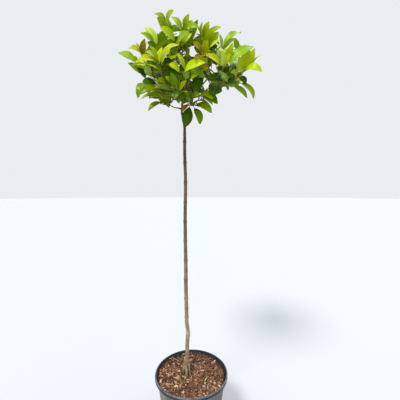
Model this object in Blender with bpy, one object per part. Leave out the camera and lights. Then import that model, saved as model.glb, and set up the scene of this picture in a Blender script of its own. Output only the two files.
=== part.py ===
"""Potted standard laurustinus: one clear stem in a round pot, with a loose ball of glossy leaves on top.

Metres, +Z up. The origin is the middle of the pot's flat underside. Each bough is one tapering limb and
ends where its mass of foliage begins. A mass is one solid: three-sided twigs that fork from one stem, and
leaves in opposite pairs crowded towards the twig ends.
"""

import math
import random

import bmesh
import bpy
from mathutils import Matrix, Vector
from mathutils.bvhtree import BVHTree

GAP = 0.0003  # left between neighbouring solids

# Pot: a round, slightly tapering nursery pot with a rolled rim
POT_HEIGHT = 0.210
POT_SIDES = 48
RIM_RADIUS = 0.130
RIM_DEPTH = 0.012
RIM_ROUND = 0.003
RIM_MOUTH_RADIUS = 0.1235
BODY_TOP_RADIUS = 0.1215
FOOT_RADIUS = 0.093
FOOT_ROUND = 0.003
WALL = 0.0028

# Potting bark, level round the stem and lumpy elsewhere
SOIL_DROP = 0.028  # below the rim
SOIL_TOP = POT_HEIGHT - SOIL_DROP
SOIL_RINGS = 7
SOIL_SECTORS = 32
SOIL_LUMP = 0.0035
SOIL_WAVES = (61.0, 53.0, 117.0, 83.0)  # radians per metre of the lumps
SOIL_LEVEL_RADIUS = 0.045  # flat seat round the stem's foot
SOIL_FADE = 0.030  # over which the lumps rise beyond that seat

# Stem: a true taper, a slight lean and a kink below the crown
GROUND = SOIL_TOP + GAP
STEM_FOOT = (-0.0170, 0.0330)
STEM_BENDS = (  # height above the ground, then sideways shift in X and Y
    (0.000, 0.0000, 0.0000),
    (0.105, 0.0005, 0.0008),
    (0.150, 0.0035, 0.0000),
    (0.195, -0.0015, -0.0010),
    (0.370, -0.0040, -0.0060),
    (0.575, -0.0058, -0.0120),
    (0.715, -0.0040, -0.0170),
    (0.825, -0.0066, -0.0200),
    (0.900, -0.0062, -0.0230),
    (0.960, -0.0158, -0.0270),
    (1.005, -0.0140, -0.0300),
    (1.060, -0.0110, -0.0320),
)
STEM_HEIGHT = STEM_BENDS[-1][0]
STEM_SIDES = 8
STEM_TIP_RADIUS = 0.0032
STEM_RADII = (  # height above the ground and radius: little taper up to the crown, then each limb takes its share
    (0.000, 0.0074),
    (0.300, 0.0069),
    (0.600, 0.0060),
    (0.860, 0.0054),
    (0.905, 0.0049),
    (0.945, 0.0038),
    (0.975, 0.0033),
    (1.060, STEM_TIP_RADIUS),
)
FLARE_HEIGHT = 0.022  # the root flare is widest here
FLARE_SPREAD = 0.0048
FLARE_SOFTNESS = 0.011
STEM_FOOT_RINGS = (0.0, 0.010, FLARE_HEIGHT, 0.034, 0.046)  # heights of the rings below the first node
FIRST_NODE = 0.070
NODE_SPACING = 0.0355  # between the pairs of old leaf scars
NODE_BULGE = 0.17
TOP_NODE_DROP = 0.008  # no node nearer the stem's tip than this

# Surface roots: short legs from the flare down to the ground
ROOT_LEGS = 5
ROOT_REACH = 0.021
ROOT_START_RADIUS = 0.0052
ROOT_END_RADIUS = 0.0030
ROOT_SPANS = 4
ROOT_SIDES = 6
ROOT_TURN = 0.45  # radians, where the first one points
ROOT_TURN_SPREAD = 0.35
ROOT_REACH_SPREAD = 0.22
ROOT_SHOULDER = 0.75  # share of its reach that a root runs out before it drops
ROOT_DROP = 0.016
ROOT_DEPTH = 0.006  # how far a root runs below the cut
GROUND_BLOCK = (0.10, 0.05)  # half width and depth of what is cut away below the ground

# Boughs: where each leaves the stem, its tip and its two radii
BOUGH_SIDES = 6
BOUGH_SPANS = 6
BOUGH_LEAVE = (0.30, 0.40)  # upward lean and pull of the curve at the stem
BOUGH_ARRIVE = (0.45, 0.35)  # and at the tip
BOUGHS = {
    "low_left": dict(height=0.968, tip=(-0.068, -0.014, 1.156), thick=0.0019, thin=0.0015),
    "low_right": dict(height=0.972, tip=(0.014, -0.026, 1.166), thick=0.0021, thin=0.0017),
    "front": dict(height=0.984, tip=(-0.022, -0.062, 1.166), thick=0.0024, thin=0.0019),
    "front_left": dict(height=0.998, tip=(-0.070, -0.058, 1.196), thick=0.0026, thin=0.0020),
    "right": dict(height=0.996, tip=(0.112, -0.022, 1.222), thick=0.0031, thin=0.0021),
    "left": dict(height=1.012, tip=(-0.112, 0.000, 1.240), thick=0.0029, thin=0.0021),
    "front_right": dict(height=1.010, tip=(0.052, -0.066, 1.222), thick=0.0026, thin=0.0020),
    "back_left": dict(height=1.024, tip=(-0.088, 0.076, 1.254), thick=0.0028, thin=0.0021),
    "back_right": dict(height=1.022, tip=(0.060, 0.078, 1.250), thick=0.0028, thin=0.0021),
    "back": dict(height=1.000, tip=(-0.020, 0.094, 1.236), thick=0.0026, thin=0.0020),
    "top_left": dict(height=1.036, tip=(-0.078, 0.002, 1.306), thick=0.0029, thin=0.0022),
    "top_right": dict(height=1.034, tip=(0.066, -0.012, 1.294), thick=0.0029, thin=0.0022),
    "top_back": dict(height=1.046, tip=(-0.008, 0.048, 1.318), thick=0.0025, thin=0.0020),
}

# Foliage: each mass has one stem and forks to these tufts. Lift turns a tuft's head from outward (0) to
# straight up (1).
CROWN_HEART = Vector((-0.015, 0.0, 1.150))
MASSES = {
    "top": dict(lift=0.75, tufts=(
        (-0.028, -0.050, 1.380), (-0.045, -0.112, 1.287), (0.040, -0.092, 1.288),
    )),
    "top_left": dict(lift=0.70, tufts=(
        (-0.083, 0.002, 1.426), (-0.112, -0.052, 1.335), (-0.120, 0.050, 1.372),
    )),
    "top_right": dict(lift=0.70, tufts=(
        (0.045, 0.000, 1.387), (0.107, -0.030, 1.336), (0.112, 0.052, 1.352),
    )),
    "top_back": dict(lift=0.75, tufts=(
        (-0.020, 0.062, 1.412), (0.040, 0.082, 1.392), (-0.050, 0.108, 1.372),
    )),
    "left": dict(lift=0.55, tufts=(
        (-0.176, 0.022, 1.338), (-0.174, -0.034, 1.284), (-0.160, 0.072, 1.310),
    )),
    "right": dict(lift=0.45, tufts=((0.180, -0.022, 1.270), (0.164, 0.024, 1.252), (0.162, 0.068, 1.306))),
    "front_left": dict(lift=0.65, pairs=4, tufts=(
        (-0.088, -0.140, 1.238), (-0.106, -0.078, 1.196), (-0.134, -0.088, 1.262),
    )),
    "front": dict(lift=0.72, pairs=4, tufts=(
        (-0.012, -0.150, 1.212), (-0.046, -0.112, 1.172), (0.000, -0.086, 1.172),
    )),
    "front_right": dict(lift=0.62, pairs=4, tufts=(
        (0.104, -0.130, 1.238), (0.106, -0.060, 1.226), (0.052, -0.152, 1.240),
    )),
    "low_left": dict(lift=0.00, pairs=2, tufts=((-0.097, -0.020, 1.160), (-0.074, 0.026, 1.186))),
    "low_right": dict(lift=0.10, pairs=2, tufts=((0.042, -0.030, 1.172), (0.006, -0.040, 1.152))),
    "back_left": dict(lift=0.65, tufts=(
        (-0.144, 0.120, 1.320), (-0.084, 0.164, 1.314), (-0.110, 0.114, 1.274),
    )),
    "back_right": dict(lift=0.65, tufts=(
        (0.132, 0.122, 1.324), (0.068, 0.164, 1.330), (0.124, 0.086, 1.280),
    )),
    "back": dict(lift=0.70, tufts=((-0.014, 0.178, 1.340), (0.024, 0.138, 1.284), (-0.040, 0.130, 1.282))),
}
SEED = 211
TWIG_SIDES = 3
TWIG_SPANS = 4
TWIG_TIP_RADIUS = 0.0016
TWIG_PULLS = (0.38, 0.40)  # of its run, at the root and at the tuft
TOP_TWIG_SHARE = 0.8  # of the stem's tip radius
SIDE_TWIG_SHARE = 0.82  # of the main twig's radius
FORK_FROM = 0.22  # share of the main twig after which side twigs leave it
FORK_STEP = 0.16
FORK_TURN = 1.4  # how strongly a side twig heads for its own tuft
TWIG_BOWS = (0.0, 0.010, -0.010, 0.020, -0.020, 0.032)  # sideways bows tried until a twig runs clear

# Pairs of leaves down a twig: distance from its tip, spread from its axis in degrees, share of full
# length, and the chance that a leaf has fallen
LEAF_PAIRS = (
    (0.002, 17, 0.60, 0.00),
    (0.009, 34, 1.00, 0.00),
    (0.020, 52, 1.02, 0.04),
    (0.040, 68, 0.92, 0.22),
    (0.066, 78, 0.82, 0.40),
)
LEAF_ZONE = 0.85  # share of a twig, from its tip, that may bear leaves
LEAF_LENGTH = 0.094
LEAF_LENGTH_SPREAD = 0.16
LEAF_WIDTH = 0.41  # of its length
LEAF_WIDTH_SPREAD = (-0.10, 0.12)
LEAF_TURN_SPREAD = 0.25
LEAF_OPENING_SPREAD = 0.16
LEAF_DROOP_STEP = 0.05  # more droop from one pair to the next
LEAF_DROOP_SPREAD = (-0.08, 0.12)
LEAF_KEEL = 0.0020  # depth of the midrib below the blade's edges
LEAF_EDGE_SHARE = 0.35  # of that depth, above the blade's middle surface
LEAF_ROOT_WIDTH = 0.0011
LEAF_ROOT_DEPTH = 0.0010
LEAF_ROOT_SIDESTEP = 0.0003  # keeps the roots of a pair apart inside the twig
LEAF_CURL = (0.10, 0.85)  # radians from root to tip, smallest and largest
LEAF_SECTIONS = ((0.0, 0.0), (0.36, 0.94), (0.70, 0.84))  # share of length, share of full width
LEAF_TRIES = ((0.0, 0.0), (0.45, 0.05), (-0.45, 0.10), (0.20, 0.40), (-0.25, -0.30), (0.9, 0.2), (-0.9, 0.2))
LEAF_FACES_UP = 0.45  # how far a blade turns its upper side to the sky
LEAF_FREE_OF_OWN = 0.16  # past this share of its length a leaf is clear of its own mass too
CLEARANCE = 0.0010  # kept from other masses and limbs

POT_COLOUR = (0.060, 0.062, 0.064)
SOIL_COLOUR = (0.160, 0.085, 0.048)
BARK_COLOUR = (0.230, 0.165, 0.110)
BOUGH_COLOUR = (0.120, 0.075, 0.045)
LEAF_COLOUR = (0.150, 0.270, 0.022)


def clear_scene():
    for item in list(bpy.data.objects):
        bpy.data.objects.remove(item, do_unlink=True)


def material(name, colour, roughness):
    made = bpy.data.materials.new(name)
    made.use_nodes = True
    shader = made.node_tree.nodes["Principled BSDF"]
    shader.inputs["Base Color"].default_value = (*colour, 1.0)
    shader.inputs["Roughness"].default_value = roughness
    shader.inputs["Metallic"].default_value = 0.0
    return made


def mesh_object(name, points, faces, finish=None):
    mesh = bpy.data.meshes.new(name)
    mesh.from_pydata([tuple(p) for p in points], [], faces)
    work = bmesh.new()
    work.from_mesh(mesh)
    bmesh.ops.recalc_face_normals(work, faces=work.faces)
    work.to_mesh(mesh)
    work.free()
    made = bpy.data.objects.new(name, mesh)
    bpy.context.scene.collection.objects.link(made)
    if finish:
        mesh.materials.append(finish)
    return made


def shade_round(thing, angle):
    thing.data.shade_smooth()
    thing.data.set_sharp_from_angle(angle=math.radians(angle))


def keep_as_cutter(thing):
    thing.hide_render = True
    thing.display_type = "WIRE"


def apply_modifiers(thing):
    graph = bpy.context.evaluated_depsgraph_get()
    finished = bpy.data.meshes.new_from_object(thing.evaluated_get(graph))
    thing.modifiers.clear()
    thing.data = finished


def lathe(profile, sides):
    """Points and faces of a body turned round Z. The profile starts and ends on the axis."""
    points = []
    rings = []
    for radius, height in profile:
        if radius == 0.0:
            rings.append([len(points)])
            points.append(Vector((0.0, 0.0, height)))
            continue
        rings.append(list(range(len(points), len(points) + sides)))
        for step in range(sides):
            angle = 2.0 * math.pi * step / sides
            points.append(Vector((radius * math.cos(angle), radius * math.sin(angle), height)))
    return points, bridge(rings, sides)


def bridge(rings, sides):
    """Faces between neighbouring rings, where a ring of one point is a pole."""
    faces = []
    for lower, upper in zip(rings, rings[1:]):
        for step in range(sides):
            after = (step + 1) % sides
            if len(lower) == 1:
                faces.append((lower[0], upper[step], upper[after]))
            elif len(upper) == 1:
                faces.append((lower[step], lower[after], upper[0]))
            else:
                faces.append((lower[step], lower[after], upper[after], upper[step]))
    return faces


def tube(path, radii, sides, level_rings=False, stretch=None, set_off=None):
    """Points and faces of a closed limb along a path. Level rings lie flat instead of across the path, and
    set_off is the direction that the first ring faces, where that isn't the first span's own."""
    points = []
    rings = []
    across = Vector((1.0, 0.0, 0.0))
    for index, (centre, radius) in enumerate(zip(path, radii)):
        before = path[max(index - 1, 0)]
        behind = path[min(index + 1, len(path) - 1)]
        along = Vector((0.0, 0.0, 1.0)) if level_rings else (behind - before).normalized()
        if index == 0 and set_off:
            along = set_off
        across = (across - along * across.dot(along)).normalized()
        over = along.cross(across)
        wide, deep = stretch[index] if stretch else (1.0, 1.0)
        rings.append(list(range(len(points), len(points) + sides)))
        for step in range(sides):
            angle = 2.0 * math.pi * step / sides
            points.append(
                centre
                + across * (radius * wide * math.cos(angle))
                + over * (radius * deep * math.sin(angle))
            )
    faces = bridge(rings, sides)
    faces.append(tuple(reversed(rings[0])))
    faces.append(tuple(rings[-1]))
    return points, faces


def bezier(start, start_pull, end_pull, end, spans):
    path = []
    for step in range(spans + 1):
        t = step / spans
        path.append(
            start * (1 - t) ** 3
            + start_pull * (3 * t * (1 - t) ** 2)
            + end_pull * (3 * t * t * (1 - t))
            + end * t**3
        )
    return path


def stem_centre(height):
    """The stem's middle at a height above the ground, eased between its bends."""
    for lower, upper in zip(STEM_BENDS, STEM_BENDS[1:]):
        if height <= upper[0]:
            break
    share = min(max((height - lower[0]) / (upper[0] - lower[0]), 0.0), 1.0)
    ease = share * share * (3.0 - 2.0 * share)
    shift_x = lower[1] + (upper[1] - lower[1]) * ease
    shift_y = lower[2] + (upper[2] - lower[2]) * ease
    return Vector((STEM_FOOT[0] + shift_x, STEM_FOOT[1] + shift_y, GROUND + height))


def stem_radius(height):
    for lower, upper in zip(STEM_RADII, STEM_RADII[1:]):
        if height <= upper[0]:
            break
    radius = lower[1] + (upper[1] - lower[1]) * (height - lower[0]) / (upper[0] - lower[0])
    flare = math.exp(-(((height - FLARE_HEIGHT) / FLARE_SOFTNESS) ** 2))
    return radius + FLARE_SPREAD * flare


def stem_rings():
    """Heights, and the bulge of each ring: pairs of scars turn a quarter round from one node to the next."""
    heights = list(STEM_FOOT_RINGS)
    stretch = [(1.0, 1.0)] * len(heights)
    node = 0
    height = FIRST_NODE
    while height < STEM_HEIGHT - TOP_NODE_DROP:
        bulge = 1.0 + NODE_BULGE
        heights.append(height)
        stretch.append((bulge, 1.0) if node % 2 else (1.0, bulge))
        if height + NODE_SPACING / 2 < STEM_HEIGHT - TOP_NODE_DROP / 2:
            heights.append(height + NODE_SPACING / 2)
            stretch.append((1.0, 1.0))
        height += NODE_SPACING
        node += 1
    heights.append(STEM_HEIGHT)
    stretch.append((1.0, 1.0))
    return heights, stretch


def stem_shape(extra=0.0):
    heights, stretch = stem_rings()
    path = [stem_centre(h) for h in heights]
    radii = [stem_radius(h) + extra for h in heights]
    return tube(path, radii, STEM_SIDES, level_rings=True, stretch=stretch)


def make_pot(finish):
    mouth = POT_HEIGHT - RIM_ROUND
    under_rim = POT_HEIGHT - RIM_DEPTH
    profile = [
        (0.0, 0.0),
        (FOOT_RADIUS - FOOT_ROUND, 0.0),
        (FOOT_RADIUS, FOOT_ROUND),
        (BODY_TOP_RADIUS, under_rim),
        (RIM_RADIUS - RIM_ROUND / 2, under_rim),
        (RIM_RADIUS, under_rim + RIM_ROUND),
        (RIM_RADIUS, mouth),
        (RIM_RADIUS - RIM_ROUND / 3, POT_HEIGHT - RIM_ROUND / 3),
        (RIM_RADIUS - RIM_ROUND, POT_HEIGHT),
        (RIM_MOUTH_RADIUS + RIM_ROUND / 3, POT_HEIGHT - RIM_ROUND / 3),
        (RIM_MOUTH_RADIUS, mouth),
        (BODY_TOP_RADIUS - WALL, under_rim - WALL),
        (FOOT_RADIUS - WALL, FOOT_ROUND + WALL),
        (0.0, FOOT_ROUND + WALL),
    ]
    points, faces = lathe(profile, POT_SIDES)
    pot = mesh_object("pot", points, faces, finish)
    shade_round(pot, 35)
    return pot


def pot_inside_radius(height):
    low = FOOT_ROUND + WALL
    high = POT_HEIGHT - RIM_DEPTH - WALL
    share = (height - low) / (high - low)
    foot = FOOT_RADIUS - WALL
    return foot + (BODY_TOP_RADIUS - WALL - foot) * share


def soil_height(x, y):
    """Lumps that die out towards the stem's foot."""
    away = math.hypot(x - STEM_FOOT[0], y - STEM_FOOT[1])
    along_x, along_y, fine_x, fine_y = SOIL_WAVES
    coarse = math.sin(along_x * x + 1.3) * math.cos(along_y * y)
    fine = 0.5 * math.sin(fine_x * x - fine_y * y)
    fade = min(max((away - SOIL_LEVEL_RADIUS) / SOIL_FADE, 0.0), 1.0)
    return SOIL_TOP + SOIL_LUMP * (coarse + fine) * fade / 1.7


def make_soil(finish):
    low = FOOT_ROUND + WALL + GAP
    # the pot's faceted wall comes closer to the axis than its corners do
    flat_of_side = math.cos(math.pi / POT_SIDES)
    foot_radius = (pot_inside_radius(low) - GAP) * flat_of_side - GAP
    edge_height = SOIL_TOP - SOIL_LUMP
    top_radius = (pot_inside_radius(edge_height) - GAP) * flat_of_side - GAP
    points = [Vector((0.0, 0.0, low))]
    rings = [[0]]
    for radius, height in ((foot_radius, low), (top_radius, edge_height)):
        rings.append(list(range(len(points), len(points) + SOIL_SECTORS)))
        for step in range(SOIL_SECTORS):
            angle = 2.0 * math.pi * step / SOIL_SECTORS
            points.append(Vector((radius * math.cos(angle), radius * math.sin(angle), height)))
    for ring in range(SOIL_RINGS, 0, -1):
        radius = top_radius * ring / SOIL_RINGS
        rings.append(list(range(len(points), len(points) + SOIL_SECTORS)))
        for step in range(SOIL_SECTORS):
            angle = 2.0 * math.pi * step / SOIL_SECTORS
            x = radius * math.cos(angle)
            y = radius * math.sin(angle)
            points.append(Vector((x, y, soil_height(x, y))))
    rings.append([len(points)])
    points.append(Vector((0.0, 0.0, soil_height(0.0, 0.0))))
    soil = mesh_object("soil", points, bridge(rings, SOIL_SECTORS), finish)
    shade_round(soil, 60)
    return soil


def make_stem(finish):
    """The stem with its surface roots joined on, cut flat where it meets the ground."""
    points, faces = stem_shape()
    stem = mesh_object("trunk", points, faces, finish)
    legs = bpy.data.collections.new("root legs")
    for index in range(ROOT_LEGS):
        angle = ROOT_TURN + 2.0 * math.pi * index / ROOT_LEGS + ROOT_TURN_SPREAD * math.sin(3.7 * index)
        outward = Vector((math.cos(angle), math.sin(angle), 0.0))
        reach = ROOT_REACH * (1.0 + ROOT_REACH_SPREAD * math.sin(2.3 * index + 0.5))
        start = stem_centre(FLARE_HEIGHT + ROOT_DEPTH)
        foot = stem_centre(0.0) + outward * reach - Vector((0.0, 0.0, ROOT_DEPTH))
        shoulder = start + outward * reach * ROOT_SHOULDER
        path = bezier(start, shoulder, foot + Vector((0.0, 0.0, ROOT_DROP)), foot, ROOT_SPANS)
        radii = [
            ROOT_START_RADIUS + (ROOT_END_RADIUS - ROOT_START_RADIUS) * k / ROOT_SPANS
            for k in range(ROOT_SPANS + 1)
        ]
        leg_points, leg_faces = tube(path, radii, ROOT_SIDES)
        leg = mesh_object(f"root leg {index}", leg_points, leg_faces)
        bpy.context.scene.collection.objects.unlink(leg)
        legs.objects.link(leg)
    join_collection(stem, legs)
    corner, below = GROUND_BLOCK
    block = [
        Vector((x * corner, y * corner, GROUND - below * (1 - z)))
        for z in (0, 1)
        for y in (-1, 1)
        for x in (-1, 1)
    ]
    sides = [(0, 2, 3, 1), (4, 5, 7, 6), (0, 1, 5, 4), (2, 6, 7, 3), (0, 4, 6, 2), (1, 3, 7, 5)]
    ground_block = mesh_object("ground block", block, sides)
    cut = stem.modifiers.new("flat cut at the ground", "BOOLEAN")
    cut.operation = "DIFFERENCE"
    cut.solver = "EXACT"
    cut.object = ground_block
    apply_modifiers(stem)
    bpy.data.objects.remove(ground_block, do_unlink=True)
    shade_round(stem, 60)
    return stem


def join_collection(thing, pieces):
    """Joins a collection's solids to one thing by a single union, then removes them."""
    bpy.context.scene.collection.children.link(pieces)
    join = thing.modifiers.new("join", "BOOLEAN")
    join.operation = "UNION"
    join.solver = "EXACT"
    join.operand_type = "COLLECTION"
    join.collection = pieces
    apply_modifiers(thing)
    for piece in list(pieces.objects):
        bpy.data.objects.remove(piece, do_unlink=True)
    bpy.data.collections.remove(pieces)


def bough_path(values):
    start = stem_centre(values["height"])
    tip = Vector(values["tip"])
    run = (tip - start).length
    outward = Vector((tip.x - start.x, tip.y - start.y, 0.0)).normalized()
    leave_lean, leave_pull = BOUGH_LEAVE
    arrive_lean, arrive_pull = BOUGH_ARRIVE
    leave = (outward + Vector((0.0, 0.0, leave_lean))).normalized()
    arrive = ((tip - start).normalized() + Vector((0.0, 0.0, arrive_lean))).normalized()
    start_pull = start + leave * run * leave_pull
    end_pull = tip - arrive * run * arrive_pull
    return bezier(start, start_pull, end_pull, tip, BOUGH_SPANS)


def make_boughs(finish):
    """Each bough starts in the stem's middle and is cut back to a gap outside its bark."""
    points, faces = stem_shape(extra=GAP)
    stem_room = mesh_object("stem room", points, faces)
    keep_as_cutter(stem_room)
    for name, values in BOUGHS.items():
        path = bough_path(values)
        count = len(path) - 1
        radii = [values["thick"] + (values["thin"] - values["thick"]) * k / count for k in range(count + 1)]
        points, faces = tube(path, radii, BOUGH_SIDES)
        bough = mesh_object(f"bough_{name}", points, faces, finish)
        cut = bough.modifiers.new("cut clear of the stem", "BOOLEAN")
        cut.operation = "DIFFERENCE"
        cut.solver = "EXACT"
        cut.object = stem_room
        apply_modifiers(bough)
        shade_round(bough, 60)
    bpy.data.objects.remove(stem_room, do_unlink=True)


def mass_root(name):
    """Where a mass's own stem starts, which way it leaves, and its radius."""
    if name in BOUGHS:
        path = bough_path(BOUGHS[name])
        along = (path[-1] - path[-2]).normalized()
        return path[-1] + along * GAP, along, BOUGHS[name]["thin"]
    tip = stem_centre(STEM_HEIGHT)
    up = Vector((0.0, 0.0, 1.0))
    return tip + up * GAP, up, STEM_TIP_RADIUS * TOP_TWIG_SHARE


def tuft_heading(tuft, lift):
    outward = (tuft - CROWN_HEART).normalized()
    return (outward * (1.0 - lift) + Vector((0.0, 0.0, 1.0)) * lift).normalized()


def box_of(points):
    low = Vector([min(p[axis] for p in points) for axis in range(3)])
    high = Vector([max(p[axis] for p in points) for axis in range(3)])
    return low, high


def boxes_meet(one, other):
    return all(one[0][k] <= other[1][k] and other[0][k] <= one[1][k] for k in range(3))


class Crowding:
    """What already stands in the crown, to keep each mass to its own space."""

    def __init__(self):
        self.standing = []

    def add(self, owner, points, faces):
        self.standing.append((owner, box_of(points), BVHTree.FromPolygons(points, faces)))

    def is_clear(self, points, faces, owner, of_own=False):
        """Whether a shape is clear of all that isn't its owner's, or of what is."""
        box = box_of(points)
        tree = None
        for other_owner, other_box, other_tree in self.standing:
            if (other_owner == owner) != of_own or not boxes_meet(box, other_box):
                continue
            tree = tree or BVHTree.FromPolygons(points, faces)
            if tree.overlap(other_tree):
                return False
        return True


def twig_shape(path, radii, set_off):
    return tube(path, radii, TWIG_SIDES, set_off=set_off)


def plan_twigs(crowding):
    """The twigs of every mass: a main twig to the first tuft, and side twigs that fork from it."""
    twigs = []
    for name, values in MASSES.items():
        start, leave, radius = mass_root(name)
        main_path = None
        for index, place in enumerate(values["tufts"]):
            tuft = Vector(place)
            heading = tuft_heading(tuft, values["lift"])
            if index == 0:
                root, set_off, thick = start, leave, radius
            else:
                share = FORK_FROM + FORK_STEP * (index - 1)
                root, set_off = point_on(main_path, share)
                set_off = (set_off + (tuft - root).normalized() * FORK_TURN).normalized()
                thick = radius * SIDE_TWIG_SHARE
            found = clear_twig(crowding, name, root, set_off, tuft, heading, thick)
            if found is None:
                print("no clear way for a twig of", name, index)
                continue
            if index == 0:
                main_path = found[0]
            twigs.append(dict(mass=name, index=index, path=found[0], radii=found[1], set_off=set_off))
            crowding.add(name, *twig_shape(*found, set_off))
    return twigs


def point_on(path, share):
    """A point along a path and the way the path runs there."""
    place = share * (len(path) - 1)
    index = min(int(place), len(path) - 2)
    along = path[index + 1] - path[index]
    return path[index] + along * (place - index), along.normalized()


def clear_twig(crowding, mass, root, set_off, tuft, heading, thick):
    run = (tuft - root).length
    sideways = (tuft - root).cross(Vector((0.0, 0.0, 1.0)))
    sideways = sideways.normalized() if sideways.length > 1e-6 else Vector((1.0, 0.0, 0.0))
    root_pull, tuft_pull = TWIG_PULLS
    for bow in TWIG_BOWS:
        leave = root + set_off * run * root_pull + sideways * bow
        arrive = tuft - heading * run * tuft_pull + sideways * bow
        path = bezier(root, leave, arrive, tuft, TWIG_SPANS)
        radii = [thick + (TWIG_TIP_RADIUS - thick) * k / TWIG_SPANS for k in range(TWIG_SPANS + 1)]
        if crowding.is_clear(*twig_shape(path, radii, set_off), mass):
            return path, radii
    return None


def leaf_shape(root, along, upper, length, width, curl, grow=0.0, trim=0.0):
    """A closed blade of three-point sections with a keel for its midrib, arching back towards its tip. Grow
    is the room asked for round it, and trim the share of its length left off at the root."""
    points = []
    rings = []
    side = along.cross(upper).normalized()
    root = root + along * LEAF_ROOT_SIDESTEP
    steps = [(max(share, trim), part) for share, part in LEAF_SECTIONS]
    for share, part in steps:
        centre, normal = leaf_spine(root, along, upper, length, curl, share)
        half = LEAF_ROOT_WIDTH / 2 + (width - LEAF_ROOT_WIDTH) / 2 * part + grow
        rings.append(list(range(len(points), len(points) + 3)))
        depth = LEAF_ROOT_DEPTH + (LEAF_KEEL - LEAF_ROOT_DEPTH) * part
        points.append(centre + side * half + normal * (depth * LEAF_EDGE_SHARE + grow))
        points.append(centre - side * half + normal * (depth * LEAF_EDGE_SHARE + grow))
        points.append(centre - normal * (depth * (1.0 - LEAF_EDGE_SHARE) + grow))
    tip, _normal = leaf_spine(root, along, upper, length + grow, curl, 1.0)
    rings.append([len(points)])
    points.append(tip)
    faces = bridge(rings, 3)
    faces.append(tuple(reversed(rings[0])))
    return points, faces


def leaf_spine(root, along, upper, length, curl, share):
    """A point on the midrib and the blade's normal there: an arc that turns by curl from root to tip."""
    turned = curl * share
    if abs(curl) < 1e-4:
        return root + along * (length * share), upper
    radius = length / curl
    centre = root + along * (radius * math.sin(turned)) - upper * (radius * (1.0 - math.cos(turned)))
    normal = upper * math.cos(turned) + along * math.sin(turned)
    return centre, normal


def leaf_pose(heading, turn, spread, droop):
    """Which way a leaf runs and its upper side, for a turn round the twig and a spread from it."""
    level = heading.orthogonal().normalized()
    outward = Matrix.Rotation(turn, 3, heading) @ level
    along = heading * math.cos(spread) + outward * math.sin(spread)
    along = (along - Vector((0.0, 0.0, droop))).normalized()
    upper = heading * math.sin(spread) - outward * math.cos(spread)
    upper = (upper - along * upper.dot(along)).normalized()
    sky = Vector((0.0, 0.0, 1.0))
    sky = sky - along * sky.dot(along)
    if sky.length > 0.2:
        upper = (upper * (1.0 - LEAF_FACES_UP) + sky.normalized() * LEAF_FACES_UP)
        upper = (upper - along * upper.dot(along)).normalized()
    return along, upper


def plan_leaves(crowding, twigs):
    """Leaves in opposite pairs. Every twig's tip pair comes first, so that the crown's outline fills first."""
    leaves = []
    masses = list(MASSES)
    for pair, (from_tip, spread, size, fallen) in enumerate(LEAF_PAIRS):
        for twig in twigs:
            place = masses.index(twig["mass"]) * 10 + twig["index"]
            chance = random.Random(SEED * 10007 + place * 101 + pair * 7)
            path = twig["path"]
            run = sum((b - a).length for a, b in zip(path, path[1:]))
            first_turn = random.Random(SEED + place).uniform(0.0, math.pi)
            for side in (0, 1):
                lost = chance.random() < fallen
                turn = first_turn + pair * math.pi / 2 + side * math.pi
                turn += chance.uniform(-LEAF_TURN_SPREAD, LEAF_TURN_SPREAD)
                opened = math.radians(spread) + chance.uniform(-LEAF_OPENING_SPREAD, LEAF_OPENING_SPREAD)
                length = LEAF_LENGTH * size * (1.0 + chance.uniform(-1.0, 1.0) * LEAF_LENGTH_SPREAD)
                width = length * LEAF_WIDTH * (1.0 + chance.uniform(*LEAF_WIDTH_SPREAD))
                curl = chance.uniform(*LEAF_CURL)
                droop = LEAF_DROOP_STEP * pair + chance.uniform(*LEAF_DROOP_SPREAD)
                bare = pair >= MASSES[twig["mass"]].get("pairs", len(LEAF_PAIRS))
                if lost or bare or from_tip > run * LEAF_ZONE:
                    continue
                root, heading = point_on(path, 1.0 - from_tip / run)
                pose = (turn, opened, droop)
                found = clear_leaf(crowding, twig["mass"], root, heading, pose, length, width, curl)
                if found:
                    leaves.append(dict(mass=twig["mass"], shape=found))
                    crowding.add(twig["mass"], *found)
    return leaves


def clear_leaf(crowding, mass, root, heading, pose, length, width, curl):
    """The first turn and spread that keep a leaf clear of all that stands already, or nothing."""
    turn, opened, droop = pose
    for turned, spread_more in LEAF_TRIES:
        along, upper = leaf_pose(heading, turn + turned, opened + spread_more, droop)
        whole = leaf_shape(root, along, upper, length, width, curl, grow=CLEARANCE)
        outer = leaf_shape(root, along, upper, length, width, curl, grow=CLEARANCE, trim=LEAF_FREE_OF_OWN)
        if crowding.is_clear(*whole, mass) and crowding.is_clear(*outer, mass, of_own=True):
            return leaf_shape(root, along, upper, length, width, curl)
    return None


def drop_scraps(thing):
    """Keeps a joined mass's largest closed shell, so no loose scrap or sealed hollow stays."""
    work = bmesh.new()
    work.from_mesh(thing.data)
    bmesh.ops.remove_doubles(work, verts=work.verts, dist=0.000002)
    bmesh.ops.dissolve_degenerate(work, edges=work.edges, dist=0.000002)
    left = set(work.faces)
    shells = []
    while left:
        stack = [left.pop()]
        shell = set(stack)
        while stack:
            for edge in stack.pop().edges:
                for face in edge.link_faces:
                    if face in left:
                        left.discard(face)
                        shell.add(face)
                        stack.append(face)
        shells.append(shell)
    shells.sort(key=len, reverse=True)
    for shell in shells[1:]:
        bmesh.ops.delete(work, geom=list(shell), context="FACES")
    bmesh.ops.triangulate(work, faces=work.faces)
    work.to_mesh(thing.data)
    work.free()
    return len(shells) - 1


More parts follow.
